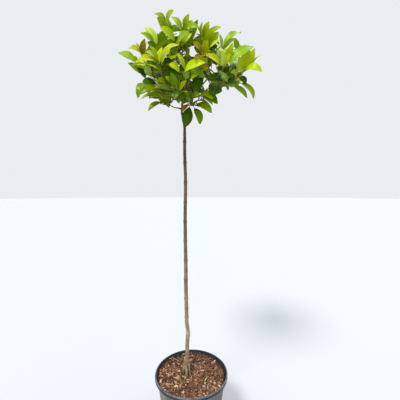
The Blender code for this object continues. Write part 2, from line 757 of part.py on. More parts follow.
def make_masses(finish):
    crowding = Crowding()
    for bough in [item for item in bpy.data.objects if item.name.startswith(("bough_", "trunk"))]:
        bough.data.calc_loop_triangles()
        corners = [v.co.copy() for v in bough.data.vertices]
        crowding.add(bough.name, corners, [tuple(t.vertices) for t in bough.data.loop_triangles])
    twigs = plan_twigs(crowding)
    leaves = plan_leaves(crowding, twigs)
    for name in MASSES:
        own = [twig for twig in twigs if twig["mass"] == name]
        points, faces = twig_shape(own[0]["path"], own[0]["radii"], own[0]["set_off"])
        mass = mesh_object(f"foliage_{name}", points, faces, finish)
        pieces = bpy.data.collections.new(f"pieces of {name}")
        shapes = [twig_shape(twig["path"], twig["radii"], twig["set_off"]) for twig in own[1:]]
        shapes += [leaf["shape"] for leaf in leaves if leaf["mass"] == name]
        for index, (piece_points, piece_faces) in enumerate(shapes):
            piece = mesh_object(f"piece {name} {index}", piece_points, piece_faces)
            bpy.context.scene.collection.objects.unlink(piece)
            pieces.objects.link(piece)
        join_collection(mass, pieces)
        scraps = drop_scraps(mass)
        print(mass.name, len(shapes), "shapes,", len(mass.data.polygons), "faces,", scraps, "scraps dropped")
    print(len(leaves), "leaves on", len(twigs), "twigs")


def main():
    clear_scene()
    make_pot(material("pot plastic", POT_COLOUR, 0.55))
    make_soil(material("potting bark", SOIL_COLOUR, 0.95))
    bark = material("stem bark", BARK_COLOUR, 0.80)
    make_stem(bark)
    make_boughs(material("bough bark", BOUGH_COLOUR, 0.70))
    make_masses(material("leaves", LEAF_COLOUR, 0.35))


main()
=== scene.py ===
# Potted standard laurustinus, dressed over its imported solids. Metres, +Z up, the pot's underside at zero.
import math
import random

import bpy
from mathutils import Matrix, Vector, noise
from mathutils.bvhtree import BVHTree


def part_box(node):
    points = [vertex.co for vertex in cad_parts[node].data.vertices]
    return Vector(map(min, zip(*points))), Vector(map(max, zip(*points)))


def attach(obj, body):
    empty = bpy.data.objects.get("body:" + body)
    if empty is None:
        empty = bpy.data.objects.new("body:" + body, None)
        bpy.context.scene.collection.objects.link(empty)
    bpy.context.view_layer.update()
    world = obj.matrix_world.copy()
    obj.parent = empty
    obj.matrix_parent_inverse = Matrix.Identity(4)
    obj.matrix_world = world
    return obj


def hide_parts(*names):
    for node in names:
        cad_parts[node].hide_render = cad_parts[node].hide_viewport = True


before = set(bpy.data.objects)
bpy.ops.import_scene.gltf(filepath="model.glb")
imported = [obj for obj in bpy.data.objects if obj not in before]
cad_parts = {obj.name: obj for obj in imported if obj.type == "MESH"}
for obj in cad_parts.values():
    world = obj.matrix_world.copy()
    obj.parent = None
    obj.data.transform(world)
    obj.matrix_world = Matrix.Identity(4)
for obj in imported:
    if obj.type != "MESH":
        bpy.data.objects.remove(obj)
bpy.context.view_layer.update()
skyUp = Vector((0.0, 0.0, 1.0))
solidGap = 0.0003  # left between neighbouring solids


def shade(red, green, blue):
    # a colour as the eye reads it, 0 to 255, turned into the light that a shader wants
    return tuple(
        c / 12.92 if c <= 0.04045 else ((c + 0.055) / 1.055) ** 2.4
        for c in (red / 255.0, green / 255.0, blue / 255.0)
    )


# Meshes


def makePiece(name, points, faces, finishes, faceFinish=None, sharpAngle=60):
    mesh = bpy.data.meshes.new(name)
    mesh.from_pydata([tuple(p) for p in points], [], faces)
    for finish in finishes:
        mesh.materials.append(finish)
    if faceFinish:
        mesh.polygons.foreach_set("material_index", faceFinish)
    mesh.shade_smooth()
    mesh.set_sharp_from_angle(angle=math.radians(sharpAngle))
    piece = bpy.data.objects.new(name, mesh)
    bpy.context.scene.collection.objects.link(piece)
    return piece


def applyModifiers(piece):
    graph = bpy.context.evaluated_depsgraph_get()
    done = bpy.data.meshes.new_from_object(piece.evaluated_get(graph))
    piece.modifiers.clear()
    piece.data = done


def bridgeRings(rings):
    # quads between rings of points; a ring of one point is a pole
    faces = []
    for low, high in zip(rings, rings[1:]):
        count = max(len(low), len(high))
        for step in range(count):
            after = (step + 1) % count
            if len(low) == 1:
                faces.append((low[0], high[after], high[step]))
            elif len(high) == 1:
                faces.append((low[step], low[after], high[0]))
            else:
                faces.append((low[step], low[after], high[after], high[step]))
    return faces


def addRing(points, rings, ring):
    # a further ring of points, or a pole where it is a single one
    rings.append(list(range(len(points), len(points) + len(ring))))
    points.extend(ring)


def levelRing(radius, height, sides):
    # points round the middle, all at one height or each where height(x, y) says
    turns = [math.tau * step / sides for step in range(sides)]
    spots = [(radius * math.cos(turn), radius * math.sin(turn)) for turn in turns]
    return [Vector((x, y, height(x, y) if callable(height) else height)) for x, y in spots]


def bezierPath(start, startPull, endPull, end, spans):
    path = []
    for step in range(spans + 1):
        t = step / spans
        near = start * (1 - t) ** 3 + startPull * (3 * t * (1 - t) ** 2)
        path.append(near + endPull * (3 * t * t * (1 - t)) + end * t**3)
    return path


def pathLength(path):
    return sum((b - a).length for a, b in zip(path, path[1:]))


def pointOn(path, share):
    # a point along a path, and the way the path runs there
    place = share * (len(path) - 1)
    index = min(int(place), len(path) - 2)
    along = path[index + 1] - path[index]
    return path[index] + along * (place - index), along.normalized()


def limbRings(path, radii, sides, relief=None, level=False, setOff=None):
    # rings of points along a path; relief(angle, index) stands above the plain radius
    points = []
    rings = []
    across = Vector((1.0, 0.0, 0.0))
    for index, (centre, radius) in enumerate(zip(path, radii)):
        along = (path[min(index + 1, len(path) - 1)] - path[max(index - 1, 0)]).normalized()
        if level:
            along = skyUp
        if index == 0 and setOff:
            along = setOff
        across = (across - along * across.dot(along)).normalized()
        over = along.cross(across)
        ring = []
        for step in range(sides):
            angle = math.tau * step / sides
            reach = radius + (relief(angle, index) if relief else 0.0)
            ring.append(centre + across * (reach * math.cos(angle)) + over * (reach * math.sin(angle)))
        addRing(points, rings, ring)
    return points, rings


def limbMesh(path, radii, sides, relief=None, level=False, capPush=0.0):
    # a closed limb along a path, with a point at each end
    points, rings = limbRings(path, radii, sides, relief, level)
    poles = ([len(points)], [len(points) + 1])
    points.append(path[0] - (path[1] - path[0]).normalized() * capPush)
    points.append(path[-1] + (path[-1] - path[-2]).normalized() * capPush)
    return points, bridgeRings([poles[0], *rings, poles[1]])


def plainTube(path, radii, sides, setOff=None):
    # the solids' own limb, with flat ends and few sides
    points, rings = limbRings(path, radii, sides, setOff=setOff)
    return points, [*bridgeRings(rings), tuple(reversed(rings[0])), tuple(rings[-1])]


class MeshPile:
    # many small things that end up in one piece
    def __init__(self):
        self.points = []
        self.faces = []
        self.finish = []

    def add(self, points, faces, finish=0):
        base = len(self.points)
        self.points.extend(points)
        self.faces.extend([tuple(base + corner for corner in face) for face in faces])
        self.finish.extend([finish] * len(faces) if isinstance(finish, int) else finish)

    def piece(self, name, finishes, sharpAngle=60):
        return makePiece(name, self.points, self.faces, finishes, self.finish, sharpAngle)


# Finishes


class Finish:
    # a Principled material whose nodes are added one call at a time
    def __init__(self, name, **sockets):
        self.material = bpy.data.materials.new(name)
        self.material.use_nodes = True
        self.tree = self.material.node_tree
        self.shader = self.tree.nodes["Principled BSDF"]
        self.set(**sockets)
        self.place = self.tree.nodes.new("ShaderNodeTexCoord").outputs["Object"]

    def set(self, **sockets):
        for socket, value in sockets.items():
            self.feed(self.shader.inputs[socket.replace("_", " ")], value)

    def feed(self, socket, value):
        if isinstance(value, (int, float)):
            socket.default_value = value
        elif isinstance(value, tuple):
            socket.default_value = (*value, 1.0)
        else:
            self.tree.links.new(value, socket)

    def node(self, kind, **sockets):
        made = self.tree.nodes.new(f"ShaderNode{kind}")
        for socket, value in sockets.items():
            self.feed(made.inputs[socket.replace("_", " ")], value)
        return made

    def stretched(self, x, y, z):
        made = self.node("Mapping", Vector=self.place)
        made.inputs["Scale"].default_value = (x, y, z)
        return made.outputs["Vector"]

    def grain(self, scale, detail=3.0, rough=0.55, vector=None, warp=0.0):
        more = dict(Detail=detail, Roughness=rough, Distortion=warp)
        return self.node("TexNoise", Scale=scale, Vector=vector or self.place, **more).outputs["Fac"]

    def cells(self, scale, vector=None):
        return self.node("TexVoronoi", Scale=scale, Vector=vector or self.place).outputs["Distance"]

    def axis(self, name):
        return self.node("SeparateXYZ", Vector=self.place).outputs[name]

    def span(self, value, low, high, toLow=0.0, toHigh=1.0):
        ends = dict(From_Min=low, From_Max=high, To_Min=toLow, To_Max=toHigh)
        return self.node("MapRange", Value=value, **ends).outputs["Result"]

    def maths(self, kind, first, second=0.0):
        made = self.node("Math")
        made.operation = kind
        self.feed(made.inputs[0], first)
        self.feed(made.inputs[1], second)
        return made.outputs["Value"]

    def times(self, first, second):
        return self.maths("MULTIPLY", first, second)

    def plus(self, first, second):
        return self.maths("ADD", first, second)

    def ramp(self, value, *stops):
        made = self.node("ValToRGB", Fac=value)
        band = made.color_ramp
        for element, (position, colour) in zip(band.elements, (stops[0], stops[-1])):
            element.position = position
            element.color = (*colour, 1.0)
        for position, colour in stops[1:-1]:
            band.elements.new(position).color = (*colour, 1.0)
        return made.outputs["Color"]

    def tinted(self, value, colour, darker, paler, stops):
        # from a darker shade of a colour, through the colour, to a paler one
        dark = tuple(darker * c for c in colour)
        pale = tuple(min(paler * c, 1.0) for c in colour)
        return self.ramp(value, *zip(stops, (dark, colour, pale)))

    def mix(self, share, first, second, blend="MIX"):
        made = self.node("MixRGB", Fac=share, Color1=first, Color2=second)
        made.blend_type = blend
        return made.outputs["Color"]

    def bump(self, value, distance, strength=1.0):
        made = self.node("Bump", Height=value, Distance=distance, Strength=strength)
        self.feed(self.shader.inputs["Normal"], made.outputs["Normal"])

    def colour(self, output):
        self.feed(self.shader.inputs["Base Color"], output)

    def rough(self, output):
        self.feed(self.shader.inputs["Roughness"], output)


# Camera, light and floor

stage = dict(
    cameraPlace=(0.0311, -0.904, 0.859),
    cameraDip=1.8,  # degrees below the horizon
    lens=22.97,
    sensor=36.0,
    skyColour=shade(243, 246, 249),
    skyStrength=0.92,
    floorColour=shade(190, 195, 200),
    floorRings=(0.6, 3.0, 40.0),
    floorSides=48,
    floorDrop=0.0004,
    floorPatches=(1.4, 0.97),  # how fine they are, and their shade by the floor's colour
    lampHeight=3.0,
    lamps=(  # the way each soft sun shines, how wide it looks in degrees, its strength and its colour
        ((0.50, 0.72, -1.20), 14.0, 2.4, shade(255, 251, 242)),
        ((-0.45, -0.55, -1.20), 60.0, 1.2, shade(252, 253, 255)),
    ),
)


def makeStage():
    scene = bpy.context.scene
    scene.view_settings.view_transform = "Standard"
    camera = bpy.data.objects.new("plantCamera", bpy.data.cameras.new("plantCamera"))
    camera.location = stage["cameraPlace"]
    camera.rotation_euler = (math.radians(90.0 - stage["cameraDip"]), 0.0, 0.0)
    camera.data.lens = stage["lens"]
    camera.data.sensor_width = stage["sensor"]
    camera.data.sensor_fit = "HORIZONTAL"
    scene.collection.objects.link(camera)
    scene.camera = camera
    for index, (way, wide, strength, colour) in enumerate(stage["lamps"]):
        lamp = bpy.data.objects.new(f"softSun{index}", bpy.data.lights.new(f"softSun{index}", "SUN"))
        lamp.location = (0.0, 0.0, stage["lampHeight"])
        lamp.rotation_euler = Vector(way).to_track_quat("-Z", "Y").to_euler()
        lamp.data.angle = math.radians(wide)
        lamp.data.energy = strength
        lamp.data.color = colour
        scene.collection.objects.link(lamp)
    sky = bpy.data.worlds.new("paleSky")
    sky.use_nodes = True
    background = sky.node_tree.nodes["Background"]
    background.inputs["Color"].default_value = (*stage["skyColour"], 1.0)
    background.inputs["Strength"].default_value = stage["skyStrength"]
    scene.world = sky
    finish = Finish("paleFloor", Roughness=0.75)
    fine, share = stage["floorPatches"]
    darker = tuple(share * c for c in stage["floorColour"])
    finish.colour(finish.mix(finish.grain(fine), stage["floorColour"], darker))
    rings = [[0]]
    points = [Vector((0.0, 0.0, 0.0))]
    for radius in stage["floorRings"]:
        addRing(points, rings, levelRing(radius, -stage["floorDrop"], stage["floorSides"]))
    floor = makePiece("studioFloor", points, bridgeRings(rings), [finish.material])


makeStage()
print("camera, lamps and floor made")

# Nursery pot

pot = dict(
    height=0.210,
    rimRadius=0.130,
    rimDepth=0.0108,
    mouthRadius=0.1248,
    bodyTop=0.1215,
    foot=0.093,
    wall=0.0028,
    sides=160,
    recess=0.0022,  # the middle of the underside stands this far up
    footRound=0.0035,
    beadRound=0.0026,
    stepRound=0.0016,
    rings=(0.016, 0.060, 0.090, 0.120, 0.172),  # heights on the body between the grooves
    grooves=(0.0305, 0.1505),
    grooveWide=0.0020,
    grooveDeep=0.0006,
    grooveEdge=0.0005,
    floor=0.008,  # inside
    wobble=0.0006,
    wobblyFrom=0.100,  # only what lies farther out sags or is pressed in
    dent=0.0026,  # the rim is pressed in this far at the front
    heave=0.0020,  # and stands up this far there
    sharp=50,  # degrees from which an edge shows
    holes=8,
    holeRise=0.0165,
    holeWide=0.017,
    holeTall=0.010,
    holeSides=16,
    holeSquare=0.7,
    punch=(-0.014, 0.012),  # how far in and out of the foot's wall a hole is cut
    plastic=shade(27, 29, 32),
    # blue-grey of the rubbed rim, which also stands in for a painted reflection of the sky
    wearAndPaintedLight=shade(92, 102, 116),
    inside=shade(29, 30, 33),
    dust=shade(133, 127, 118),
    dirt=shade(96, 86, 76),
)


def arcPoints(centre, radius, start, end, steps):
    turns = [math.radians(start + (end - start) * k / steps) for k in range(steps + 1)]
    return [(centre[0] + radius * math.cos(t), centre[1] + radius * math.sin(t)) for t in turns]


def potProfile():
    # from the middle of the underside up the outside, over the rim and down the inside
    top, under = pot["height"], pot["height"] - pot["rimDepth"]
    bead, step, low, floor = pot["beadRound"], pot["stepRound"], pot["footRound"], pot["floor"]
    rim, mouth, body, foot, wall = (pot[k] for k in ("rimRadius", "mouthRadius", "bodyTop", "foot", "wall"))
    line = [(0.0, pot["recess"]), (foot * 0.55, pot["recess"]), (foot * 0.62, 0.0006), (foot - 0.010, 0.0)]
    line += arcPoints((foot - low, low), low, -90, -8, 4)
    heights = [(height, 0.0) for height in (*pot["rings"], under - 0.0012)]
    for groove in pot["grooves"]:
        far = groove + pot["grooveWide"]
        heights += [(groove - pot["grooveEdge"], 0.0), (far + pot["grooveEdge"], 0.0)]
        heights += [(groove, pot["grooveDeep"]), (far, pot["grooveDeep"])]
    for height, deep in sorted(heights):
        line.append((foot + (body - foot) * (height - 0.003) / (under - 0.003) - deep, height))
    line += [(body + 0.0012, under)]
    line += arcPoints((rim - step, under + step), step, -90, 0, 3)
    line += [(rim - 0.0004, under + 0.0035), (rim - 0.0006, under + 0.0065)]
    line += arcPoints((rim - bead, top - bead), bead, 0, 90, 5)
    line += arcPoints((mouth + bead * 0.8, top - bead * 0.8), bead * 0.8, 90, 180, 4)
    line += [(mouth - 0.0006, under + 0.002), (body - wall, under - wall)]
    line += [(body - wall - 0.0015, under - 0.012), (foot - wall + (body - foot) * 0.5, 0.095)]
    line += [(foot - wall, floor), (0.0, floor)]
    return line


def holePunch(out):
    # a rounded plug that stands across the wall where a drain hole is cut
    side = skyUp.cross(out)
    outline = []
    for step in range(pot["holeSides"]):
        turn = math.tau * step / pot["holeSides"]
        wide = math.copysign(abs(math.cos(turn)) ** pot["holeSquare"], math.cos(turn)) * pot["holeWide"] / 2
        tall = math.copysign(abs(math.sin(turn)) ** pot["holeSquare"], math.sin(turn)) * pot["holeTall"] / 2
        outline.append(side * wide + skyUp * (pot["holeRise"] + tall))
    near, far = (out * (pot["foot"] + reach) for reach in pot["punch"])
    middle = skyUp * pot["holeRise"]
    points = []
    rings = []
    for ring in ([near + middle], [near + p for p in outline], [far + p for p in outline], [far + middle]):
        addRing(points, rings, ring)
    return points, bridgeRings(rings)


def makePot():
    points = []
    rings = []
    profile = potProfile()
    crest = max(range(len(profile)), key=lambda k: profile[k][1])
    for radius, height in profile:
        if radius == 0.0:
            addRing(points, rings, [Vector((0.0, 0.0, height))])
            continue
        rise = (height / pot["height"]) ** 2
        loose = radius > pot["wobblyFrom"]
        ring = []
        for step in range(pot["sides"]):
            turn = math.tau * step / pot["sides"]
            out = Vector((math.cos(turn), math.sin(turn), 0.0))
            warp = noise.noise(out * 1.3 + Vector((4.0, 0.0, 0.0))) * pot["wobble"] * 2.0 * rise
            sag = noise.noise(out * 1.7) * pot["wobble"] * rise if loose else 0.0
            front = max(-out.y, 0.0) ** 2 * rise * rise if loose else 0.0
            lift = height + sag + front * pot["heave"]
            ring.append(out * (radius + warp - front * pot["dent"]) + skyUp * lift)
        addRing(points, rings, ring)
    finish = potFinish()
    inner = [0 if k < crest + 2 else 1 for k in range(len(rings) - 1) for _side in range(pot["sides"])]
    finishes = [finish, insideFinish()]
    piece = makePiece("nurseryPot", points, bridgeRings(rings), finishes, inner, sharpAngle=pot["sharp"])
    punches = MeshPile()
    for index in range(pot["holes"]):
        turn = math.tau * (index + 0.5) / pot["holes"]
        punches.add(*holePunch(Vector((math.cos(turn), math.sin(turn), 0.0))))
    cutter = punches.piece("drainPunches", [finish])
    cut = piece.modifiers.new("drain holes", "BOOLEAN")
    cut.operation = "DIFFERENCE"
    cut.solver = "EXACT"
    cut.object = cutter
    applyModifiers(piece)
    bpy.data.objects.remove(cutter, do_unlink=True)
    piece.data.set_sharp_from_angle(angle=math.radians(pot["sharp"]))
    return piece


def potFinish():
    # black moulded plastic, dusty down the body, and blue-grey along the rim: rubbed wear there together
    # with a painted reflection of the sky on the lip
    finish = Finish("pottedPlastic", Roughness=0.5, Specular_IOR_Level=0.5)
    height = finish.axis("Z")
    blotch = finish.grain(26.0, 5.0, 0.62)
    streak = finish.grain(30.0, 4.0, 0.6, finish.stretched(1.0, 1.0, 0.12))
    fine = finish.grain(420.0, 3.0, 0.6)
    under = pot["height"] - pot["rimDepth"]
    onBody = finish.span(height, under + 0.001, under - 0.006)
    dustShare = finish.times(onBody, finish.span(blotch, 0.20, 0.62, 0.62, 0.98))
    body = finish.mix(finish.span(streak, 0.35, 0.70), pot["dust"], pot["dirt"])
    lowDirt = finish.times(finish.span(height, 0.060, 0.0), finish.span(fine, 0.3, 0.7))
    body = finish.mix(lowDirt, body, pot["dirt"])
    base = finish.mix(dustShare, pot["plastic"], body)
    # painted highlight: a blue-grey band along the crest of the lip stands in for the sky's reflection,
    # broken into rubbed patches of wear
    crest = finish.span(height, pot["height"] - 0.0026, pot["height"] - 0.0006)
    crestPatches = finish.span(finish.grain(48.0, 4.0, 0.65), 0.36, 0.62, 0.25, 1.0)
    crestWearAndSheen = finish.times(crest, crestPatches)
    base = finish.mix(crestWearAndSheen, base, pot["wearAndPaintedLight"])
    onRim = finish.span(height, under + 0.001, under + 0.004)
    # painted sheen with some wear: a faint patchy mix of the same blue-grey over the rim's outer band
    bandWearAndSheen = finish.times(onRim, finish.span(finish.grain(90.0, 4.0, 0.6), 0.50, 0.80, 0.0, 0.10))
    finish.colour(finish.mix(bandWearAndSheen, base, pot["wearAndPaintedLight"]))
    finish.rough(finish.span(finish.plus(dustShare, fine), 0.3, 1.5, 0.36, 0.78))
    finish.bump(finish.plus(fine, finish.times(streak, 0.6)), 0.0004, 0.45)
    return finish.material


def insideFinish():
    # the inner wall keeps its black, with a little dried splash just above the bark
    finish = Finish("pottedInside", Roughness=0.55, Specular_IOR_Level=0.45)
    splash = finish.times(finish.span(finish.axis("Z"), 0.200, 0.188), finish.grain(60.0, 4.0, 0.65))
    finish.colour(finish.mix(finish.span(splash, 0.3, 0.8, 0.0, 0.5), pot["inside"], pot["dirt"]))
    finish.rough(finish.span(finish.grain(140.0), 0.3, 0.7, 0.45, 0.65))
    finish.bump(finish.grain(300.0, 3.0, 0.6), 0.0003, 0.4)
    return finish.material


potPiece = makePot()
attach(potPiece, "root")
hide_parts("pot")
print("pot turned and punched")

# Potting bark

bark = dict(
    drop=0.028,  # below the rim
    lump=0.0035,
    waves=(61.0, 53.0, 117.0, 83.0),
    waveShift=1.3,
    fineShare=0.5,
    waveMost=1.7,
    levelRadius=0.045,
    fade=0.030,
    heap=0.0060,  # the loose chips lie this much above the solid's level
    bank=0.0125,  # and this much more against the wall
    bankFrom=0.062,
    mounds=(  # middle, reach and rise of the heaps against the wall
        ((0.042, 0.104), 0.028, 0.0060),
        ((-0.108, 0.030), 0.036, 0.0040),
    ),
    sink=0.0035,  # the mulch's own bed lies this much below the chips' tops
    edge=0.1180,
    bedSides=96,
    bedRings=30,
    bedLow=0.0085,
    bedWall=((0.1030, 0.095), (0.1125, 0.170), (0.1150, 0.188)),  # radius and height, close inside the pot
    grit=(160.0, 0.0016),  # how fine and how rough the bed itself is
    counts=dict(chip=1500, flake=150, fibre=90, crumb=4800),  # a flake is a long flat piece
    corners=(4, 5, 5, 6, 7),
    chipWide=(0.30, 0.75),  # by its length
    chipThick=(0.12, 0.30),
    thinnest=0.0006,
    tilts=(0.95, 0.35),  # how far a piece tips, and how far a flat one does
    roll=0.5,
    shrink=(0.55, 0.95),  # a chip's top by its bed
    ragged=((-0.3, 0.3), (0.78, 1.08), (0.8, 1.3)),  # how a corner strays round, outward and up
    chipLong=(0.0045, 0.0175),
    flakeLong=(0.013, 0.024),
    crumbLong=(0.0012, 0.0040),
    settle=(-0.0034, 0.0006),  # lift of a piece's middle over the bed
    heavier=0.0008,  # all but crumbs lie this much lower
    fibreLift=0.0016,
    fibreSlim=0.14,
    flakeSlim=0.55,
    clearOfStem=(0.012, 0.024),  # nothing nearer than the first, no large piece nearer than the second
    large=0.006,
    seed=17,
    tones=(  # colour and how often it comes
        (shade(76, 51, 37), 0.22), (shade(106, 73, 54), 0.25), (shade(136, 97, 72), 0.22),
        (shade(166, 125, 98), 0.14), (shade(198, 160, 131), 0.07), (shade(134, 80, 52), 0.06),
        (shade(220, 194, 160), 0.04),
    ),
    bed=shade(68, 46, 34),
)
stemFoot = (-0.0170, 0.0330)
soilTop = pot["height"] - bark["drop"]


def soilHeight(x, y):
    alongX, alongY, fineX, fineY = bark["waves"]
    away = math.hypot(x - stemFoot[0], y - stemFoot[1])
    coarse = math.sin(alongX * x + bark["waveShift"]) * math.cos(alongY * y)
    fine = bark["fineShare"] * math.sin(fineX * x - fineY * y)
    fade = min(max((away - bark["levelRadius"]) / bark["fade"], 0.0), 1.0)
    toWall = min(max((math.hypot(x, y) - bark["bankFrom"]) / (bark["edge"] - bark["bankFrom"]), 0.0), 1.0)
    loose = bark["heap"] + bark["bank"] * toWall * toWall
    for (heapX, heapY), reach, rise in bark["mounds"]:
        loose += rise * math.exp(-(((x - heapX) ** 2 + (y - heapY) ** 2) / reach**2))
    return soilTop + loose + bark["lump"] * (coarse + fine) * fade / bark["waveMost"]


def chipMesh(chance, place, long, flat, slim=1.0):
    # an angular splinter: a ragged outline, a smaller top and a tilted, turned bed
    corners = chance.choice(bark["corners"])
    wide = long * chance.uniform(*bark["chipWide"]) * slim
    thick = max(long * chance.uniform(*bark["chipThick"]) * slim, bark["thinnest"])
    tilt = Matrix.Rotation(chance.uniform(-1.0, 1.0) * bark["tilts"][flat], 3, "X")
    turn = Matrix.Rotation(chance.uniform(0.0, math.tau), 3, "Z")
    roll = Matrix.Rotation(chance.uniform(-bark["roll"], bark["roll"]), 3, "Y")
    turned = turn @ tilt @ roll
    points = []
    for level, shrink in ((-0.5, 1.0), (0.5, chance.uniform(*bark["shrink"]))):
        for corner in range(corners):
            stray, reach, rise = bark["ragged"]
            a = math.tau * corner / corners + chance.uniform(*stray)
            out = chance.uniform(*reach) * shrink
            lift = thick * level * chance.uniform(*rise)
            spot = Vector((math.cos(a) * long / 2 * out, math.sin(a) * wide / 2 * out, lift))
            points.append(place + turned @ spot)
    low = list(range(corners))
    high = list(range(corners, 2 * corners))
    return points, [*bridgeRings([low, high]), tuple(reversed(low)), tuple(high)]


def chipFinish(name, colour):
    finish = Finish(name, Roughness=0.88, Specular_IOR_Level=0.3)
    streak = finish.grain(260.0, 4.0, 0.65, finish.stretched(1.0, 0.35, 1.0))
    finish.colour(finish.tinted(streak, colour, 0.55, 1.28, (0.28, 0.52, 0.78)))
    finish.bump(finish.grain(900.0, 3.0, 0.6), 0.0003, 0.5)
    return finish.material


def bedHeight(x, y):
    fine, deep = bark["grit"]
    rough = noise.fractal(Vector((x, y, 0.0)) * fine, 1.0, 2.0, 3) * deep
    return soilHeight(x, y) - bark["sink"] + rough


def makeBark():
    bed = MeshPile()
    rings = []
    points = []
    sides, low = bark["bedSides"], bark["bedLow"]
    addRing(points, rings, [Vector((0.0, 0.0, low))])
    for radius, height in ((pot["foot"] - pot["wall"] - 0.002, low), *bark["bedWall"]):
        addRing(points, rings, levelRing(radius, height, sides))
    for ring in range(bark["bedRings"], 0, -1):
        radius = (bark["edge"] - 0.0004) * ring / bark["bedRings"]
        addRing(points, rings, levelRing(radius, bedHeight, sides))
    addRing(points, rings, [Vector((0.0, 0.0, bedHeight(0.0, 0.0)))])
    bed.add(points, bridgeRings(rings), 0)
    chance = random.Random(bark["seed"])
    weights = [share for _tone, share in bark["tones"]]
    tones = list(range(1, len(bark["tones"]) + 1))
    noCloser, noLargeCloser = bark["clearOfStem"]
    for kind in [name for name, count in bark["counts"].items() for _each in range(count)]:
        radius = (bark["edge"] + (0.001 if kind == "crumb" else -0.003)) * math.sqrt(chance.random())
        turn = chance.uniform(0.0, math.tau)
        x, y = radius * math.cos(turn), radius * math.sin(turn)
        fromStem = math.hypot(x - stemFoot[0], y - stemFoot[1])
        reach = chance.random() ** 2.2
        long = bark["chipLong"][0] + (bark["chipLong"][1] - bark["chipLong"][0]) * reach
        if kind != "chip":
            long = chance.uniform(*bark["crumbLong" if kind == "crumb" else "flakeLong"])
        if fromStem < noCloser or (fromStem < noLargeCloser and long > bark["large"]):
            continue
        lift = chance.uniform(*bark["settle"]) - (0.0 if kind == "crumb" else bark["heavier"])
        place = Vector((x, y, soilHeight(x, y) + lift))
        tone = chance.choices(tones, weights)[0]
        if kind == "fibre":
            place += skyUp * bark["fibreLift"]
            bed.add(*chipMesh(chance, place, long * 0.8, True, slim=bark["fibreSlim"]), 5)
            continue
        flat = chance.random() < (0.9 if kind == "flake" else 0.6)
        slim = bark["flakeSlim"] if kind == "flake" else 1.0
        bed.add(*chipMesh(chance, place, long, flat, slim=slim), tone)
    finishes = [chipFinish("barkBed", bark["bed"])]
    finishes += [chipFinish(f"barkChip{k}", tone) for k, (tone, _share) in enumerate(bark["tones"], 1)]
    return bed.piece("pottingBark", finishes, sharpAngle=28)


soilPiece = makeBark()
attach(soilPiece, "root")
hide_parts("soil")
print("potting bark strewn")

# Bits lying on the bark: fallen leaf scraps, a wood splinter, a dead twig, and moss at the stem's foot

litter = dict(
    scraps=(  # place, length, heading in degrees and finish
        ((-0.035, 0.112), 0.010, 20, 1), ((0.089, 0.072), 0.009, 50, 6),
        ((0.026, 0.069), 0.009, 160, 3), ((0.018, 0.013), 0.009, 10, 2),
        ((-0.0215, -0.006), 0.009, 95, 2), ((0.037, -0.018), 0.009, 190, 2),
        ((0.045, -0.028), 0.009, 120, 3), ((0.049, -0.034), 0.008, 60, 6),
    ),
    scrapLift=0.0022,
    scrapShape=((0.0, 0.05), (0.3, 0.27), (0.65, 0.25), (0.9, 0.10)),  # share of the length and half width
    splinter=((0.047, -0.026), (0.060, 0.003)),
    splinterRadii=(0.0012, 0.0020, 0.0024, 0.0021, 0.0014, 0.0005),
    twig=((-0.090, 0.078), (-0.077, 0.087), (-0.064, 0.083), (-0.053, 0.081)),
    mossSeed=5,
    mossTufts=150,
    mossHeart=(-0.031, 0.030),
    mossSpread=0.006,
    mossTall=(0.0012, 0.0032),
    mossRadii=(0.0007, 0.0009, 0.0003),
    lifts=dict(splinter=0.0035, twig=0.0030, moss=-0.0015),
    tints=(
        ("footMoss", shade(88, 104, 42)),
        ("driedScrap", shade(206, 170, 62)),
        ("freshScrap", shade(128, 150, 46)),
        ("darkScrap", shade(62, 96, 40)),
        ("woodSplinter", shade(196, 146, 104)),
        ("deadTwig", shade(186, 158, 134)),
        ("paleScrap", shade(176, 190, 150)),
    ),
)


